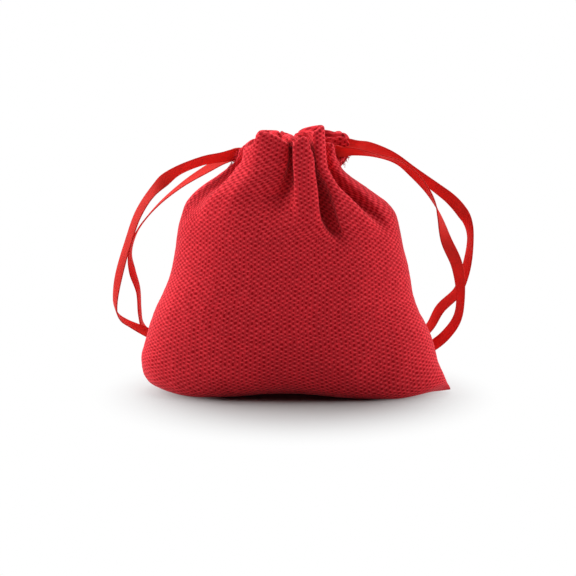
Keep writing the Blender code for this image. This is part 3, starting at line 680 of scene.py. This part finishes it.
def cloth_rows(cloth):
    """All levels of the cloth, each as front and back points with their cloth places."""
    front = cloth_columns(FRONT_FOLDS, cloth.column_step)
    back = cloth_columns(BACK_FOLDS, cloth.column_step)
    rows = []
    for s in np.linspace(BODY[0][0], NECK_PLACE, BODY_LEVELS):
        rows.append((body_level(s, False, front, FRONT_FOLDS), np.full(len(front), s),
                     body_level(s, True, back, BACK_FOLDS), np.full(len(back), s)))
    for (pf, vf), (pb, vb) in zip(hem_levels(False, front, FRONT_FOLDS, cloth),
                                  hem_levels(True, back, BACK_FOLDS, cloth)):
        rows.append((pf, vf, pb, vb))
    return front, back, rows


# Meshes.

def new_object(name, mesh):
    """A new object in the scene."""
    obj = bpy.data.objects.new(name, mesh)
    bpy.context.scene.collection.objects.link(obj)
    return obj


def smooth_shaded(mesh):
    """Shades all faces of a mesh smooth."""
    mesh.polygons.foreach_set("use_smooth", [True] * len(mesh.polygons))
    mesh.update()


def lay_uv(mesh, name, places):
    """Writes each point's place on its cloth or ribbon as the mesh's UV map."""
    layer = mesh.uv_layers.new(name=name)
    corner = np.zeros(len(mesh.loops), dtype=np.int32)
    mesh.loops.foreach_get("vertex_index", corner)
    layer.data.foreach_set("uv", places[corner].ravel())


def all_points(rows):
    """The points of all levels, front and back."""
    return np.concatenate([np.concatenate([pf, pb]) for pf, vf, pb, vb in rows])


def plan_centre(rows):
    """The middle of the cloth's plan box, which stands on the frame's origin."""
    points = all_points(rows)
    centre = (points.min(axis=0) + points.max(axis=0)) / 2
    centre[2] = 0.0
    return centre


def hem_corner():
    """The turned hem beside the right slit, between the two ribbons that come out there."""
    columns = np.linspace(HEM_CORNER_TOP[0][0], HEM_CORNER_TOP[-1][0], 24)
    top = smooth(HEM_CORNER_TOP, columns)[:, 0]
    foot = np.interp(columns, *zip(*HEM_CORNER_FOOT))
    level = HEM_CORNER_Y - 0.04 * (columns - 9.0) + 0.2 * np.sin(1.4 * columns)
    roll = HEM_CORNER_ROLL
    points = []
    places = []
    for share in np.linspace(0, 1, 10):
        z = foot + (top - roll - foot) * share
        points.append(np.column_stack([columns, level, z]))
        places.append(np.column_stack([columns + 60, z]))
    for turn in np.radians((30, 60, 90, 120, 150, 180)):
        over = roll * (1 - math.cos(turn))
        up = top - roll + roll * math.sin(turn)
        points.append(np.column_stack([columns, level + over, up]))
        places.append(np.column_stack([columns + 60, top + over]))
    count = len(columns)
    faces = [(a, a + 1, a + count + 1, a + count)
             for row in range(len(points) - 1)
             for a in range(row * count, row * count + count - 1)]
    return np.concatenate(points), faces, np.concatenate(places)


def cloth_mesh(front, back, rows, cloth):
    """The pouch cloth as one sheet with its cloth places as a UV map."""
    nf = len(front)
    around = nf + len(back)
    points = all_points(rows)
    u = np.concatenate([front, back + 2 * HALF])
    v = np.concatenate([np.concatenate([vf, vb]) for pf, vf, pb, vb in rows])
    faces = []
    for level in range(len(rows) - 1):
        a = level * around
        for i in range(around):
            if i == nf - 1 or i == around - 1:
                continue
            faces.append((a + i, a + i + 1, a + around + i + 1, a + around + i))
    # The two panels meet along the folded bottom.
    i, j = 0, around - 1
    while i < nf - 1 or j > nf:
        ahead_i = points[min(i + 1, nf - 1)][0]
        ahead_j = points[max(j - 1, nf)][0]
        if j <= nf or (i < nf - 1 and ahead_i < ahead_j):
            faces.append((i, j, i + 1))
            i += 1
        else:
            faces.append((i, j, j - 1))
            j -= 1
    points = points - plan_centre(rows)
    corner_points, corner_faces, corner_places = hem_corner()
    faces += [tuple(i + len(points) for i in face) for face in corner_faces]
    points = np.concatenate([points, corner_points])
    mesh = bpy.data.meshes.new("linen_pouch")
    mesh.from_pydata([tuple(p * MM) for p in points], [], faces)
    places = np.column_stack([np.tile(u + HALF, len(rows)), v])
    lay_uv(mesh, "cloth", np.concatenate([places, corner_places]) / CLOTH_UV)
    shape = bmesh.new()
    shape.from_mesh(mesh)
    bmesh.ops.remove_doubles(shape, verts=shape.verts, dist=0.01 * MM)
    bmesh.ops.recalc_face_normals(shape, faces=shape.faces)
    shape.normal_update()
    crumple(shape, cloth.crumple)
    shape.to_mesh(mesh)
    shape.free()
    smooth_shaded(mesh)
    return mesh


def crumple(shape, height):
    """Soft unevenness of a cloth that has been handled, and the lumps of its threads."""
    for vert in shape.verts:
        p = vert.co / MM
        body = min(1.0, max(0.0, (p.z - 1.0) / 5.0)) * min(1.0, max(0.0, (57.0 - p.z) / 12.0))
        wide = noise.noise(Vector((p.x * 0.085, p.y * 0.085, p.z * 0.055)))
        small = noise.noise(Vector((p.x * 0.33, p.y * 0.33 + 9, p.z * 0.26)))
        lumps = noise.noise(Vector((p.x * 0.95, p.y * 0.95 - 5, p.z * 0.95)))
        rise = height * body * (1.3 * wide + 0.35 * small) + 0.07 * lumps
        if p.z > 0.6:
            vert.co += vert.normal * rise * MM


def through(rows, at):
    """Rows of numbers along a smooth curve through the given rows, at places 0 to 1."""
    rows = np.array(rows, dtype=float)
    step = np.sqrt(np.maximum(np.linalg.norm(np.diff(rows[:, :3], axis=0), axis=1), 1e-6))
    knots = np.concatenate([[0.0], np.cumsum(step)])
    ends = np.vstack([2 * rows[:1] - rows[1:2], rows, 2 * rows[-1:] - rows[-2:-1]])
    where = np.concatenate([[-step[0]], knots, [knots[-1] + step[-1]]])
    t = np.clip(at, 0, 1) * knots[-1]
    i = np.clip(np.searchsorted(knots, t, side="right"), 1, len(rows) - 1)
    t = t[:, None]
    p = [ends[i + k - 1] for k in range(4)]
    w = [where[i + k - 1][:, None] for k in range(4)]
    a1 = ((w[1] - t) * p[0] + (t - w[0]) * p[1]) / (w[1] - w[0])
    a2 = ((w[2] - t) * p[1] + (t - w[1]) * p[2]) / (w[2] - w[1])
    a3 = ((w[3] - t) * p[2] + (t - w[2]) * p[3]) / (w[3] - w[2])
    b1 = ((w[2] - t) * a1 + (t - w[0]) * a2) / (w[2] - w[0])
    b2 = ((w[3] - t) * a2 + (t - w[1]) * a3) / (w[3] - w[1])
    return ((w[2] - t) * b1 + (t - w[1]) * b2) / (w[2] - w[1])


def ribbon_route(first, first_inside, second_inside, second, height, ring_angles):
    """A whole ribbon: up one strand, round the neck and down the other strand.

    The rows are x, y, z and the direction of the ribbon's width.
    """
    rows = [(*p[:3], p[3]) for p in first[::-1]]
    rows += [(*p, None) for p in first_inside[::-1]]
    for angle in ring_angles:
        turn = math.radians(angle)
        rows.append((NECK_CENTRE[0] + NECK_RING[0] * math.cos(turn),
                     NECK_CENTRE[1] + NECK_RING[1] * math.sin(turn), height, None))
    rows += [(*p, None) for p in second_inside]
    rows += [(*p[:3], p[3]) for p in second]
    points = np.array([row[:3] for row in rows], dtype=float)
    toward = np.array([0.0, -1.0, 0.12])
    made = []
    for i, row in enumerate(rows):
        ahead = points[min(i + 1, len(rows) - 1)] - points[max(i - 1, 0)]
        ahead /= np.linalg.norm(ahead)
        if i < len(first):
            ahead = -ahead
        if row[3] is None:
            wide = np.array([0.0, 0.0, 1.0])
        else:
            facing = toward - ahead * (ahead @ toward)
            facing /= np.linalg.norm(facing)
            turn = math.radians(row[3])
            wide = math.cos(turn) * np.cross(ahead, facing) - math.sin(turn) * facing
        if made and wide @ made[-1][3:] < 0:
            wide = -wide
        made.append(np.concatenate([points[i], wide]))
    return np.array(made)


def ribbon_stations(route, step):
    """Evenly spaced centres of a ribbon with the directions of its width and its face."""
    fine = through(route, np.linspace(0, 1, 4001))
    way = arc_length(fine[:, :3])
    at = np.linspace(0, way[-1], int(way[-1] / step) + 1)
    rows = looked_up(at, way, fine)
    centre = rows[:, :3]
    ahead = np.gradient(centre, at, axis=0)
    ahead /= np.linalg.norm(ahead, axis=1, keepdims=True)
    wide = rows[:, 3:] - ahead * (rows[:, 3:] * ahead).sum(axis=1, keepdims=True)
    wide /= np.linalg.norm(wide, axis=1, keepdims=True)
    return centre, wide, np.cross(ahead, wide), at


def ribbon_section(width, thickness, cup):
    """Closed outline of the ribbon's section with thicker woven edges: across, up."""
    half = width / 2
    share = np.array([-1.0, -0.93, -0.8, -0.4, 0.0, 0.4, 0.8, 0.93, 1.0])
    bead = 1 + 0.35 * np.exp(-(((np.abs(share) - 0.92) / 0.08) ** 2))
    bow = cup * (1 - share ** 2)
    up = thickness / 2 * bead
    up[0] = up[-1] = 0.0
    top = [(half * s, b + t) for s, b, t in zip(share, bow, up)]
    bottom = [(half * s, b - t) for s, b, t in zip(share, bow, up)][1:-1]
    return top + bottom[::-1]


def ribbon_mesh(name, stations, width, thickness, cup=0.12):
    """A woven ribbon along its stations, closed at both ends, with its length as UV."""
    centre, wide, face, at = stations
    section = ribbon_section(width, thickness, cup)
    n = len(section)
    points = []
    for c, b, f, way in zip(centre, wide, face, at):
        curl = 0.10 * math.sin(way * 0.21) + 0.05 * math.sin(way * 0.67 + 1.0)
        for across_it, up in section:
            points.append((c + b * across_it + f * (up + curl * (across_it / width) ** 2)) * MM)
    faces = [tuple(range(n))[::-1]]
    for i in range(len(centre) - 1):
        for k in range(n):
            a = n * i + k
            b = n * i + (k + 1) % n
            faces.append((a, b, b + n, a + n))
    last = n * (len(centre) - 1)
    faces.append(tuple(range(last, last + n)))
    mesh = bpy.data.meshes.new(name)
    mesh.from_pydata(points, [], faces)
    over = np.tile([p[0] + width / 2 for p in section], len(centre))
    lay_uv(mesh, "ribbon", np.column_stack([over, np.repeat(at, n)]) / RIBBON_UV)
    smooth_shaded(mesh)
    return mesh


def outward(mesh):
    """Turns a closed mesh's faces outward."""
    shape = bmesh.new()
    shape.from_mesh(mesh)
    bmesh.ops.recalc_face_normals(shape, faces=shape.faces)
    shape.to_mesh(mesh)
    shape.free()
    smooth_shaded(mesh)


def tube_points(line, radius, sides, closed, ridges=0.0, flat=1.0):
    """Rings of points round a line of points, their faces and their places as a ribbon."""
    line = np.array(line, dtype=float)
    count = len(line)
    if closed:
        ahead = np.roll(line, -1, axis=0) - np.roll(line, 1, axis=0)
    else:
        ahead = np.gradient(line, axis=0)
    ahead /= np.maximum(np.linalg.norm(ahead, axis=1, keepdims=True), 1e-9)
    up = np.cross(ahead, np.array([0.31, 0.22, 0.92]))
    up /= np.maximum(np.linalg.norm(up, axis=1, keepdims=True), 1e-9)
    side = np.cross(ahead, up)
    radius = np.broadcast_to(radius, (count,))
    way = arc_length(line)
    points = []
    places = []
    for i in range(count):
        for k in range(sides):
            turn = 2 * math.pi * k / sides
            wavy = 1 + ridges * (math.cos(3 * turn + 1.1 * math.sin(way[i] * 0.5))
                                 + 0.6 * math.cos(7 * turn + 0.35 * way[i]))
            points.append(line[i] + radius[i] * wavy
                          * (math.cos(turn) * up[i] / flat + math.sin(turn) * side[i] * flat))
            places.append((abs(2 * k / sides - 1) * 2.4 + 0.3, way[i]))
    faces = []
    for i in range(count if closed else count - 1):
        for k in range(sides):
            a = i * sides + k
            b = i * sides + (k + 1) % sides
            c = (i + 1) % count * sides
            faces.append((a, b, c + (k + 1) % sides, c + k))
    if not closed:
        faces.append(tuple(range(sides))[::-1])
        faces.append(tuple(range((count - 1) * sides, count * sides)))
    return points, faces, places


def fray_mesh(rows, cloth):
    """Short loose threads along the raw edges of the two slits."""
    draw = np.random.default_rng(7)
    points = []
    faces = []
    edges = []
    for level in rows[-HEM_LEVELS:][:12]:
        for panel, last, before in ((0, 0, 3), (0, -1, -4), (2, 0, 3), (2, -1, -4)):
            edges.append((level[panel][last], level[panel][before]))
    centre = plan_centre(rows)
    for root, inner in edges:
        heading = (root - inner) / np.linalg.norm(root - inner)
        for k in range(cloth.fray_threads):
            start = root - centre - heading * 0.5 + draw.uniform(-0.35, 0.35, 3)
            length = 0.5 + cloth.fray_length * draw.uniform(0.0, 1.0) ** 2
            bend = draw.uniform(-1.0, 1.0, 3) * np.array([0.5, 0.5, 0.8])
            share = np.linspace(0, 1, 6)[:, None]
            line = start + heading * (0.5 + length) * share + bend * length * share ** 2
            made, sides, places = tube_points(line, np.linspace(0.10, 0.05, 6), 5, False)
            faces += [tuple(i + len(points) for i in face) for face in sides]
            points += made
    mesh = bpy.data.meshes.new("loose_threads")
    mesh.from_pydata([tuple(p * MM) for p in points], [], faces)
    outward(mesh)
    return mesh


def knot_mesh(name, centre, tails, ribbon):
    """An overhand knot of drawn-together ribbon with its two cut tails."""
    t = np.linspace(0, 2 * math.pi, 160, endpoint=False)
    x = KNOT_SIZE * (np.sin(t) + 2 * np.sin(2 * t))
    y = KNOT_SIZE * (np.cos(t) - 2 * np.cos(2 * t))
    z = -KNOT_RISE * 0.8 * np.sin(3 * t)
    line = np.stack([x, y, z], axis=1) + np.array(centre)
    points, faces, places = tube_points(line, KNOT_STRAND, 28, True, KNOT_WRINKLES, KNOT_FLAT)
    mesh = bpy.data.meshes.new(name)
    mesh.from_pydata([tuple(p * MM) for p in points], [], faces)
    lay_uv(mesh, "ribbon", np.array(places) / RIBBON_UV)
    shape = bmesh.new()
    shape.from_mesh(mesh)
    for k, tail in enumerate(tails):
        route = np.array([(*row[:3], 0.0, 0.25 - 0.5 * k, 1.0) for row in tail], dtype=float)
        part = ribbon_mesh(name + "_tail", ribbon_stations(route, 0.5), ribbon.width * 0.96,
                           ribbon.thickness, 0.25)
        shape.from_mesh(part)
        bpy.data.meshes.remove(part)
    bmesh.ops.recalc_face_normals(shape, faces=shape.faces)
    shape.to_mesh(mesh)
    shape.free()
    smooth_shaded(mesh)
    return mesh


# Shader maths.

class Wire:
    """A socket that Python's arithmetic can be written on; each step adds its Math node."""

    def __init__(self, socket):
        self.socket = socket
        self.tree = socket.id_data

    def math(self, operation, *values):
        return node(self.tree, "ShaderNodeMath", {"operation": operation},
                    dict(enumerate((self, *values))))

    def __add__(self, other):
        return self.math("ADD", other)

    def __radd__(self, other):
        return self.math("ADD", other)

    def __sub__(self, other):
        return self.math("SUBTRACT", other)

    def __rsub__(self, other):
        return node(self.tree, "ShaderNodeMath", {"operation": "SUBTRACT"},
                    {0: other, 1: self})

    def __mul__(self, other):
        return self.math("MULTIPLY", other)

    def __rmul__(self, other):
        return self.math("MULTIPLY", other)

    def __truediv__(self, other):
        return self.math("DIVIDE", other)

    def floor(self):
        return self.math("FLOOR")

    def cosine(self):
        return self.math("COSINE")

    def largest(self, other):
        return self.math("MAXIMUM", other)

    def distance(self):
        return self.math("ABSOLUTE")


def node(tree, kind, settings, values, output=0):
    """Any shader node: its settings first, then its sockets by name or place."""
    made = tree.nodes.new(kind)
    for name, value in settings.items():
        if name == "stops":
            for stop, (place, colour) in zip(grown(made.color_ramp, len(value)), value):
                stop.position = place
                stop.color = (*colour, 1.0)
        else:
            setattr(made, name, value)
    for name, value in values.items():
        if isinstance(value, Wire):
            tree.links.new(value.socket, made.inputs[name])
        else:
            made.inputs[name].default_value = value
    return Wire(made.outputs[output])


def grown(ramp, count):
    """The stops of a colour ramp, brought to this number."""
    while len(ramp.elements) < count:
        ramp.elements.new(1.0)
    return ramp.elements


def limited(wire, low, high):
    """0 below low, 1 above high, smooth between."""
    return node(wire.tree, "ShaderNodeMapRange", {"interpolation_type": "SMOOTHSTEP"},
                {"Value": wire, "From Min": low, "From Max": high})


def mixed(factor, first, second):
    """A mix of two colours."""
    return node(factor.tree, "ShaderNodeMix", {"data_type": "RGBA"},
                {0: factor, 6: first, 7: second}, 2)


def tinted(colour, shade):
    """A colour made lighter or darker by a value."""
    return node(colour.tree, "ShaderNodeVectorMath", {"operation": "SCALE"},
                {0: colour, "Scale": shade})


def cloud(tree, place, scale, detail=2.0):
    """Soft noise from 0 to 1 at a place given in millimetres."""
    return node(tree, "ShaderNodeTexNoise", {"noise_dimensions": "3D"},
                {"Vector": place, "Scale": scale, "Detail": detail, "Roughness": 0.5})


def chance(tree, wire):
    """A number from 0 to 1 that belongs to each whole value."""
    return node(tree, "ShaderNodeTexWhiteNoise", {"noise_dimensions": "1D"}, {"W": wire})


def vector(tree, x, y, z=0.0):
    """Three values joined to one vector."""
    return node(tree, "ShaderNodeCombineXYZ", {}, {0: x, 1: y, 2: z})


def new_material(name):
    """An empty material, its node tree and its surface shader."""
    material = bpy.data.materials.new(name)
    material.use_nodes = True
    tree = material.node_tree
    return material, tree, tree.nodes["Principled BSDF"]


def feed(tree, shader, sockets):
    """Sets or links the surface shader's sockets."""
    for name, value in sockets.items():
        if isinstance(value, Wire):
            tree.links.new(value.socket, shader.inputs[name])
        else:
            shader.inputs[name].default_value = value


def linen_material(cloth):
    """Plain-weave linen: stout upright threads, finer crosswise ones, uneven and fuzzy, with
    painted highlights on the knuckles and painted shade in the gaps between threads.
    """
    material, tree, shader = new_material("red_linen")
    place = node(tree, "ShaderNodeUVMap", {"uv_map": "cloth"}, {})
    u = node(tree, "ShaderNodeSeparateXYZ", {}, {0: place}, 0) * CLOTH_UV
    v = node(tree, "ShaderNodeSeparateXYZ", {}, {0: place}, 1) * CLOTH_UV
    flat = vector(tree, u, v)
    # Threads wander a little and swell where the yarn is thick.
    drift = cloud(tree, vector(tree, u * 0.30, v * 0.07), 1.0, 1.0) - 0.5
    sag = cloud(tree, vector(tree, u * 0.10, v * 0.42, 7.0), 1.0, 1.0) - 0.5
    jitter = cloud(tree, flat, 1.1, 2.0) - 0.5
    shift = cloud(tree, vector(tree, v, u, 5.0), 1.1, 2.0) - 0.5
    x = (u + drift * 0.9 + jitter * 0.95) / cloth.warp_pitch
    y = (v + sag * 0.8 + shift * 0.6) / cloth.weft_pitch
    column = x.floor()
    line = y.floor()
    side = x - column - 0.5
    level = y - line - 0.5
    warp_wave = ((y - 0.5 + column) * math.pi).cosine()
    weft_wave = (((x - 0.5 + line) * math.pi).cosine()) * -1.0
    cell = node(tree, "ShaderNodeTexWhiteNoise", {"noise_dimensions": "2D"},
                {"Vector": vector(tree, column, line)})
    stout = 0.8 + 0.5 * cell
    warp = warp_wave * 0.5 + 0.5 - (side * side) * 2.3 / stout
    weft = weft_wave * 0.5 - 0.2 - (level * level) * 1.0
    height = warp.largest(weft)
    # A small pit where a stout thread dives under a fine one, darkened with painted shade.
    pit = (0.62 - warp_wave * 0.5) * (1 - (side * side) * 7.5)
    yarn = cloud(tree, vector(tree, u * 2.2, v * 5.0), 1.0, 2.0)
    rough = height + (yarn - 0.5) * 0.5 + (cell - 0.5) * 0.25
    # Painted highlight on the knuckles, painted shade between them, and each thread its own
    # tone.
    clear_of_pit_shade = 1 - limited(pit + (cell - 0.5) * 0.45 + (yarn - 0.5) * 0.55, 0.30, 0.95) * 0.95
    shade = (0.80 + 0.05 * chance(tree, column + 40.0) + 0.05 * chance(tree, line + 900.0)
             + 0.22 * cell + 0.16 * yarn)
    patch = 0.90 + 0.20 * cloud(tree, flat, 0.07, 2.0)
    colour = mixed(clear_of_pit_shade, (*cloth.gap_shade_colour, 1.0), (*cloth.colour, 1.0))
    # Painted highlight: raised knuckles lighter, and pinkish ticks on the stout threads.
    knuckle_highlight = 0.80 + 0.22 * limited(height, 0.1, 1.0)
    highlight_tick = (0.5 + warp_wave * 0.5) * (1 - (side * side) * 3.0) + (yarn - 0.5) * 0.6
    colour = mixed(limited(highlight_tick, 0.62, 1.05) * 0.6, tinted(colour, shade * patch * knuckle_highlight),
                   (*cloth.knuckle_highlight_colour, 1.0))
    bump = node(tree, "ShaderNodeBump", {}, {"Strength": 0.45, "Distance": 0.00012,
                                             "Height": rough})
    feed(tree, shader, {
        "Base Color": colour, "Normal": bump, "Roughness": 0.92, "Specular IOR Level": 0.08,
        "Sheen Weight": 0.12, "Sheen Roughness": 0.5, "Sheen Tint": (1.0, 0.55, 0.60, 1.0),
    })
    return material


def satin_material(ribbon):
    """Woven satin: fine lines along the ribbon, woven edges, and a soft broken shine, partly
    from uneven roughness and partly painted as lighter and darker colour along its crumples.
    """
    material, tree, shader = new_material("red_satin")
    place = node(tree, "ShaderNodeUVMap", {"uv_map": "ribbon"}, {})
    u = node(tree, "ShaderNodeSeparateXYZ", {}, {0: place}, 0) * RIBBON_UV
    v = node(tree, "ShaderNodeSeparateXYZ", {}, {0: place}, 1) * RIBBON_UV
    half = ribbon.width / 2
    from_edge = half - (u - half).distance()
    edge = 1 - limited(from_edge, 0.10, 0.32)
    lines = cloud(tree, vector(tree, u * 9.0, v * 0.55), 1.0, 2.0)
    # Soft crumples along the ribbon raise the bump and lighten or darken the colour as painted
    # shine and shade.
    crease_and_shine = cloud(tree, vector(tree, u * 0.5, v * 0.22, 3.0), 1.0, 2.0)
    shade = 0.90 + 0.20 * (lines - 0.5) + 0.22 * (crease_and_shine - 0.5) - edge * 0.12
    base = mixed(crease_and_shine, (*(c * 0.93 for c in ribbon.colour), 1.0), (*ribbon.colour, 1.0))
    colour = tinted(base, shade)
    height = lines * 0.5 + crease_and_shine * 2.0 + edge * ((v * 7.0).cosine() * 0.5 + 0.6)
    bump = node(tree, "ShaderNodeBump", {}, {"Strength": 0.35, "Distance": 0.00008,
                                             "Height": height})
    feed(tree, shader, {
        "Base Color": colour, "Normal": bump, "Roughness": 0.44 + 0.16 * lines,
        "Specular IOR Level": 0.14, "Specular Tint": (1.0, 0.2, 0.16, 1.0),
    })
    # Light from behind shows through the thin ribbon.
    through_it = node(tree, "ShaderNodeBsdfTranslucent", {}, {"Color": colour})
    thin = node(tree, "ShaderNodeMixShader", {}, {0: SEE_THROUGH, 1: Wire(shader.outputs[0]),
                                                  2: through_it})
    tree.links.new(thin.socket, tree.nodes["Material Output"].inputs["Surface"])
    return material


def thread_material(cloth):
    """Loose linen threads."""
    material, tree, shader = new_material("loose_linen")
    place = node(tree, "ShaderNodeTexCoord", {}, {}, 3)
    tone = cloud(tree, place, 900.0, 1.0)
    # Random tone between the gap-shade colour and the linen colour.
    colour = mixed(tone, (*cloth.gap_shade_colour, 1.0), (*cloth.colour, 1.0))
    feed(tree, shader, {"Base Color": colour, "Roughness": 0.92, "Specular IOR Level": 0.08})
    return material


# Operators.

def settings(context):
    """The settings of the cloth, of the ribbons and of the studio."""
    scene = context.scene
    return scene.pouch_cloth, scene.pouch_ribbon, scene.pouch_studio


class POUCH_OT_camera(bpy.types.Operator):
    """Set the camera low in front of the pouch"""

    bl_idname = "pouch.camera"
    bl_label = "Camera"

    def execute(self, context):
        studio = settings(context)[2]
        data = bpy.data.cameras.new("camera")
        data.lens = studio.lens
        data.sensor_width = 36.0
        data.clip_start = 0.01
        camera = new_object("camera", data)
        target = Vector(CAMERA_TARGET)
        tilt = math.radians(studio.elevation)
        away = Vector((0.0, -math.cos(tilt), math.sin(tilt)))
        camera.location = (target + away * studio.distance) * MM
        camera.rotation_euler = (-away).to_track_quat("-Z", "Y").to_euler()
        context.scene.camera = camera
        return {"FINISHED"}


class POUCH_OT_ribbons(bpy.types.Operator):
    """Add the two satin drawstrings with their knots"""

    bl_idname = "pouch.ribbons"
    bl_label = "Ribbons and knots"

    def execute(self, context):
        ribbon = settings(context)[1]
        satin = satin_material(ribbon)
        left = ribbon_route(LEFT_FRONT_STRAND, LEFT_FRONT_INSIDE, LEFT_BACK_INSIDE,
                            LEFT_BACK_STRAND, RIBBON_LOW_Z, LEFT_RING_ANGLES)
        right = ribbon_route(RIGHT_BACK_STRAND, RIGHT_BACK_INSIDE, RIGHT_FRONT_INSIDE,
                             RIGHT_FRONT_STRAND, RIBBON_HIGH_Z, RIGHT_RING_ANGLES)
        for side, route, centre, tails in (("left", left, LEFT_KNOT, LEFT_TAILS),
                                           ("right", right, RIGHT_KNOT, RIGHT_TAILS)):
            stations = ribbon_stations(route, ribbon.step)
            mesh = ribbon_mesh(side + "_satin_ribbon", stations, ribbon.width,
                               ribbon.thickness)
            outward(mesh)
            strip = new_object(side + "_satin_ribbon", mesh)
            mesh.materials.append(satin)
            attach(strip, "root")
            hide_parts(side + "_ribbon")
            tied = new_object(side + "_tied_knot",
                              knot_mesh(side + "_tied_knot", centre, tails, ribbon))
            tied.data.materials.append(satin)
            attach(tied, "root")
            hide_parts(side + "_knot")
            path = [tuple(p * MM) for p in stations[0][::3]] + [tuple(stations[0][-1] * MM)]
        return {"FINISHED"}


class POUCH_OT_cloth(bpy.types.Operator):
    """Add the gathered linen pouch with its turned hem"""

    bl_idname = "pouch.cloth"
    bl_label = "Linen pouch"

    def execute(self, context):
        cloth = settings(context)[0]
        front, back, rows = cloth_rows(cloth)
        mesh = cloth_mesh(front, back, rows, cloth)
        pouch = new_object("linen_pouch", mesh)
        mesh.materials.append(linen_material(cloth))
        wall = pouch.modifiers.new("thickness", "SOLIDIFY")
        wall.thickness = cloth.thickness * MM
        wall.offset = -1.0
        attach(pouch, "root")
        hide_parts("pouch_body")
        loose = fray_mesh(rows, cloth)
        threads = new_object("loose_threads", loose)
        loose.materials.append(thread_material(cloth))
        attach(threads, "root")
        return {"FINISHED"}


class POUCH_OT_stage(bpy.types.Operator):
    """Add the white floor, the backdrop and the soft boxes"""

    bl_idname = "pouch.stage"
    bl_label = "Stage"

    def execute(self, context):
        studio = settings(context)[2]
        white, tree, shader = new_material("white_paper")
        feed(tree, shader, {"Base Color": (studio.paper, studio.paper, studio.paper, 1.0),
                            "Roughness": 0.8, "Specular IOR Level": 0.1})
        # Near the pouch the paper is a dim diffuse grey, a painted shade pool that the lamps'
        # real shadows deepen; further out it glows evenly white.
        place = node(tree, "ShaderNodeTexCoord", {}, {}, 3)
        oval = node(tree, "ShaderNodeVectorMath", {"operation": "DIVIDE"},
                    {0: place, 1: PAPER_SHADE_OVAL})
        far = node(tree, "ShaderNodeVectorMath", {"operation": "LENGTH"}, {0: oval}, 1)
        glow = node(tree, "ShaderNodeEmission", {}, {"Strength": 1.0})
        painted_shade_pool = node(tree, "ShaderNodeMixShader", {}, {0: limited(far, 0.34, 0.92),
                                                       1: Wire(shader.outputs[0]), 2: glow})
        tree.links.new(painted_shade_pool.socket, tree.nodes["Material Output"].inputs["Surface"])
        # One sheet of paper: flat under the pouch, then curved up behind it.
        profile = [(-PAPER_HALF, 0.0), (PAPER_BACK, 0.0)]
        for k in range(1, 13):
            turn = math.radians(7.5 * k)
            profile.append((PAPER_BACK + PAPER_BEND * math.sin(turn),
                            PAPER_BEND - PAPER_BEND * math.cos(turn)))
        profile.append((PAPER_BACK + PAPER_BEND, PAPER_TOP))
        points = [(x, y, z) for y, z in profile for x in (-PAPER_HALF, PAPER_HALF)]
        faces = [(2 * i, 2 * i + 1, 2 * i + 3, 2 * i + 2) for i in range(len(profile) - 1)]
        mesh = bpy.data.meshes.new("paper")
        mesh.from_pydata(points, [], faces)
        smooth_shaded(mesh)
        mesh.materials.append(white)
        new_object("paper", mesh)
        boxes = (
            ("left_box", (-0.30, 0.01, 0.17), (0.24, 0.26), studio.side_power),
            ("right_box", (0.30, -0.01, 0.18), (0.24, 0.26), studio.side_power * 0.8),
            ("top_box", (-0.05, 0.08, 0.33), (0.22, 0.18), studio.top_power),
        )
        for name, place, size, power in boxes:
            light = bpy.data.lights.new(name, "AREA")
            light.shape = "RECTANGLE"
            light.size, light.size_y = size
            light.energy = power
            lamp = new_object(name, light)
            lamp.location = place
            aim = Vector(LIGHT_TARGET) - lamp.location
            lamp.rotation_euler = aim.to_track_quat("-Z", "Y").to_euler()
        world = bpy.data.worlds.new("studio")
        context.scene.world = world
        world.use_nodes = True
        tree = world.node_tree
        tree.nodes["Background"].inputs["Color"].default_value = (1.0, 1.0, 1.0, 1.0)
        tree.nodes["Background"].inputs["Strength"].default_value = studio.room
        context.scene.view_settings.view_transform = "Standard"
        return {"FINISHED"}


class POUCH_PT_panel(bpy.types.Panel):
    """Pouch settings and steps"""

    bl_label = "Linen pouch"
    bl_idname = "POUCH_PT_panel"
    bl_space_type = "VIEW_3D"
    bl_region_type = "UI"
    bl_category = "Pouch"

    def draw(self, context):
        layout = self.layout
        for group in settings(context):
            box = layout.box()
            for name in group.bl_rna.properties.keys():
                if name not in ("rna_type", "name"):
                    box.prop(group, name)
        for step in STEPS:
            layout.operator(step.bl_idname)


STEPS = (POUCH_OT_camera, POUCH_OT_ribbons, POUCH_OT_cloth, POUCH_OT_stage)
GROUPS = (PouchClothSettings, PouchRibbonSettings, PouchStudioSettings)


def register():
    for item in (*GROUPS, *STEPS, POUCH_PT_panel):
        bpy.utils.register_class(item)
    bpy.types.Scene.pouch_cloth = bpy.props.PointerProperty(type=PouchClothSettings)
    bpy.types.Scene.pouch_ribbon = bpy.props.PointerProperty(type=PouchRibbonSettings)
    bpy.types.Scene.pouch_studio = bpy.props.PointerProperty(type=PouchStudioSettings)


def unregister():
    del bpy.types.Scene.pouch_cloth
    del bpy.types.Scene.pouch_ribbon
    del bpy.types.Scene.pouch_studio
    for item in (POUCH_PT_panel, *STEPS[::-1], *GROUPS[::-1]):
        bpy.utils.unregister_class(item)


def main():
    register()
    bpy.ops.pouch.camera()
    bpy.ops.pouch.ribbons()
    bpy.ops.pouch.cloth()
    bpy.ops.pouch.stage()


if __name__ == "__main__":
    main()
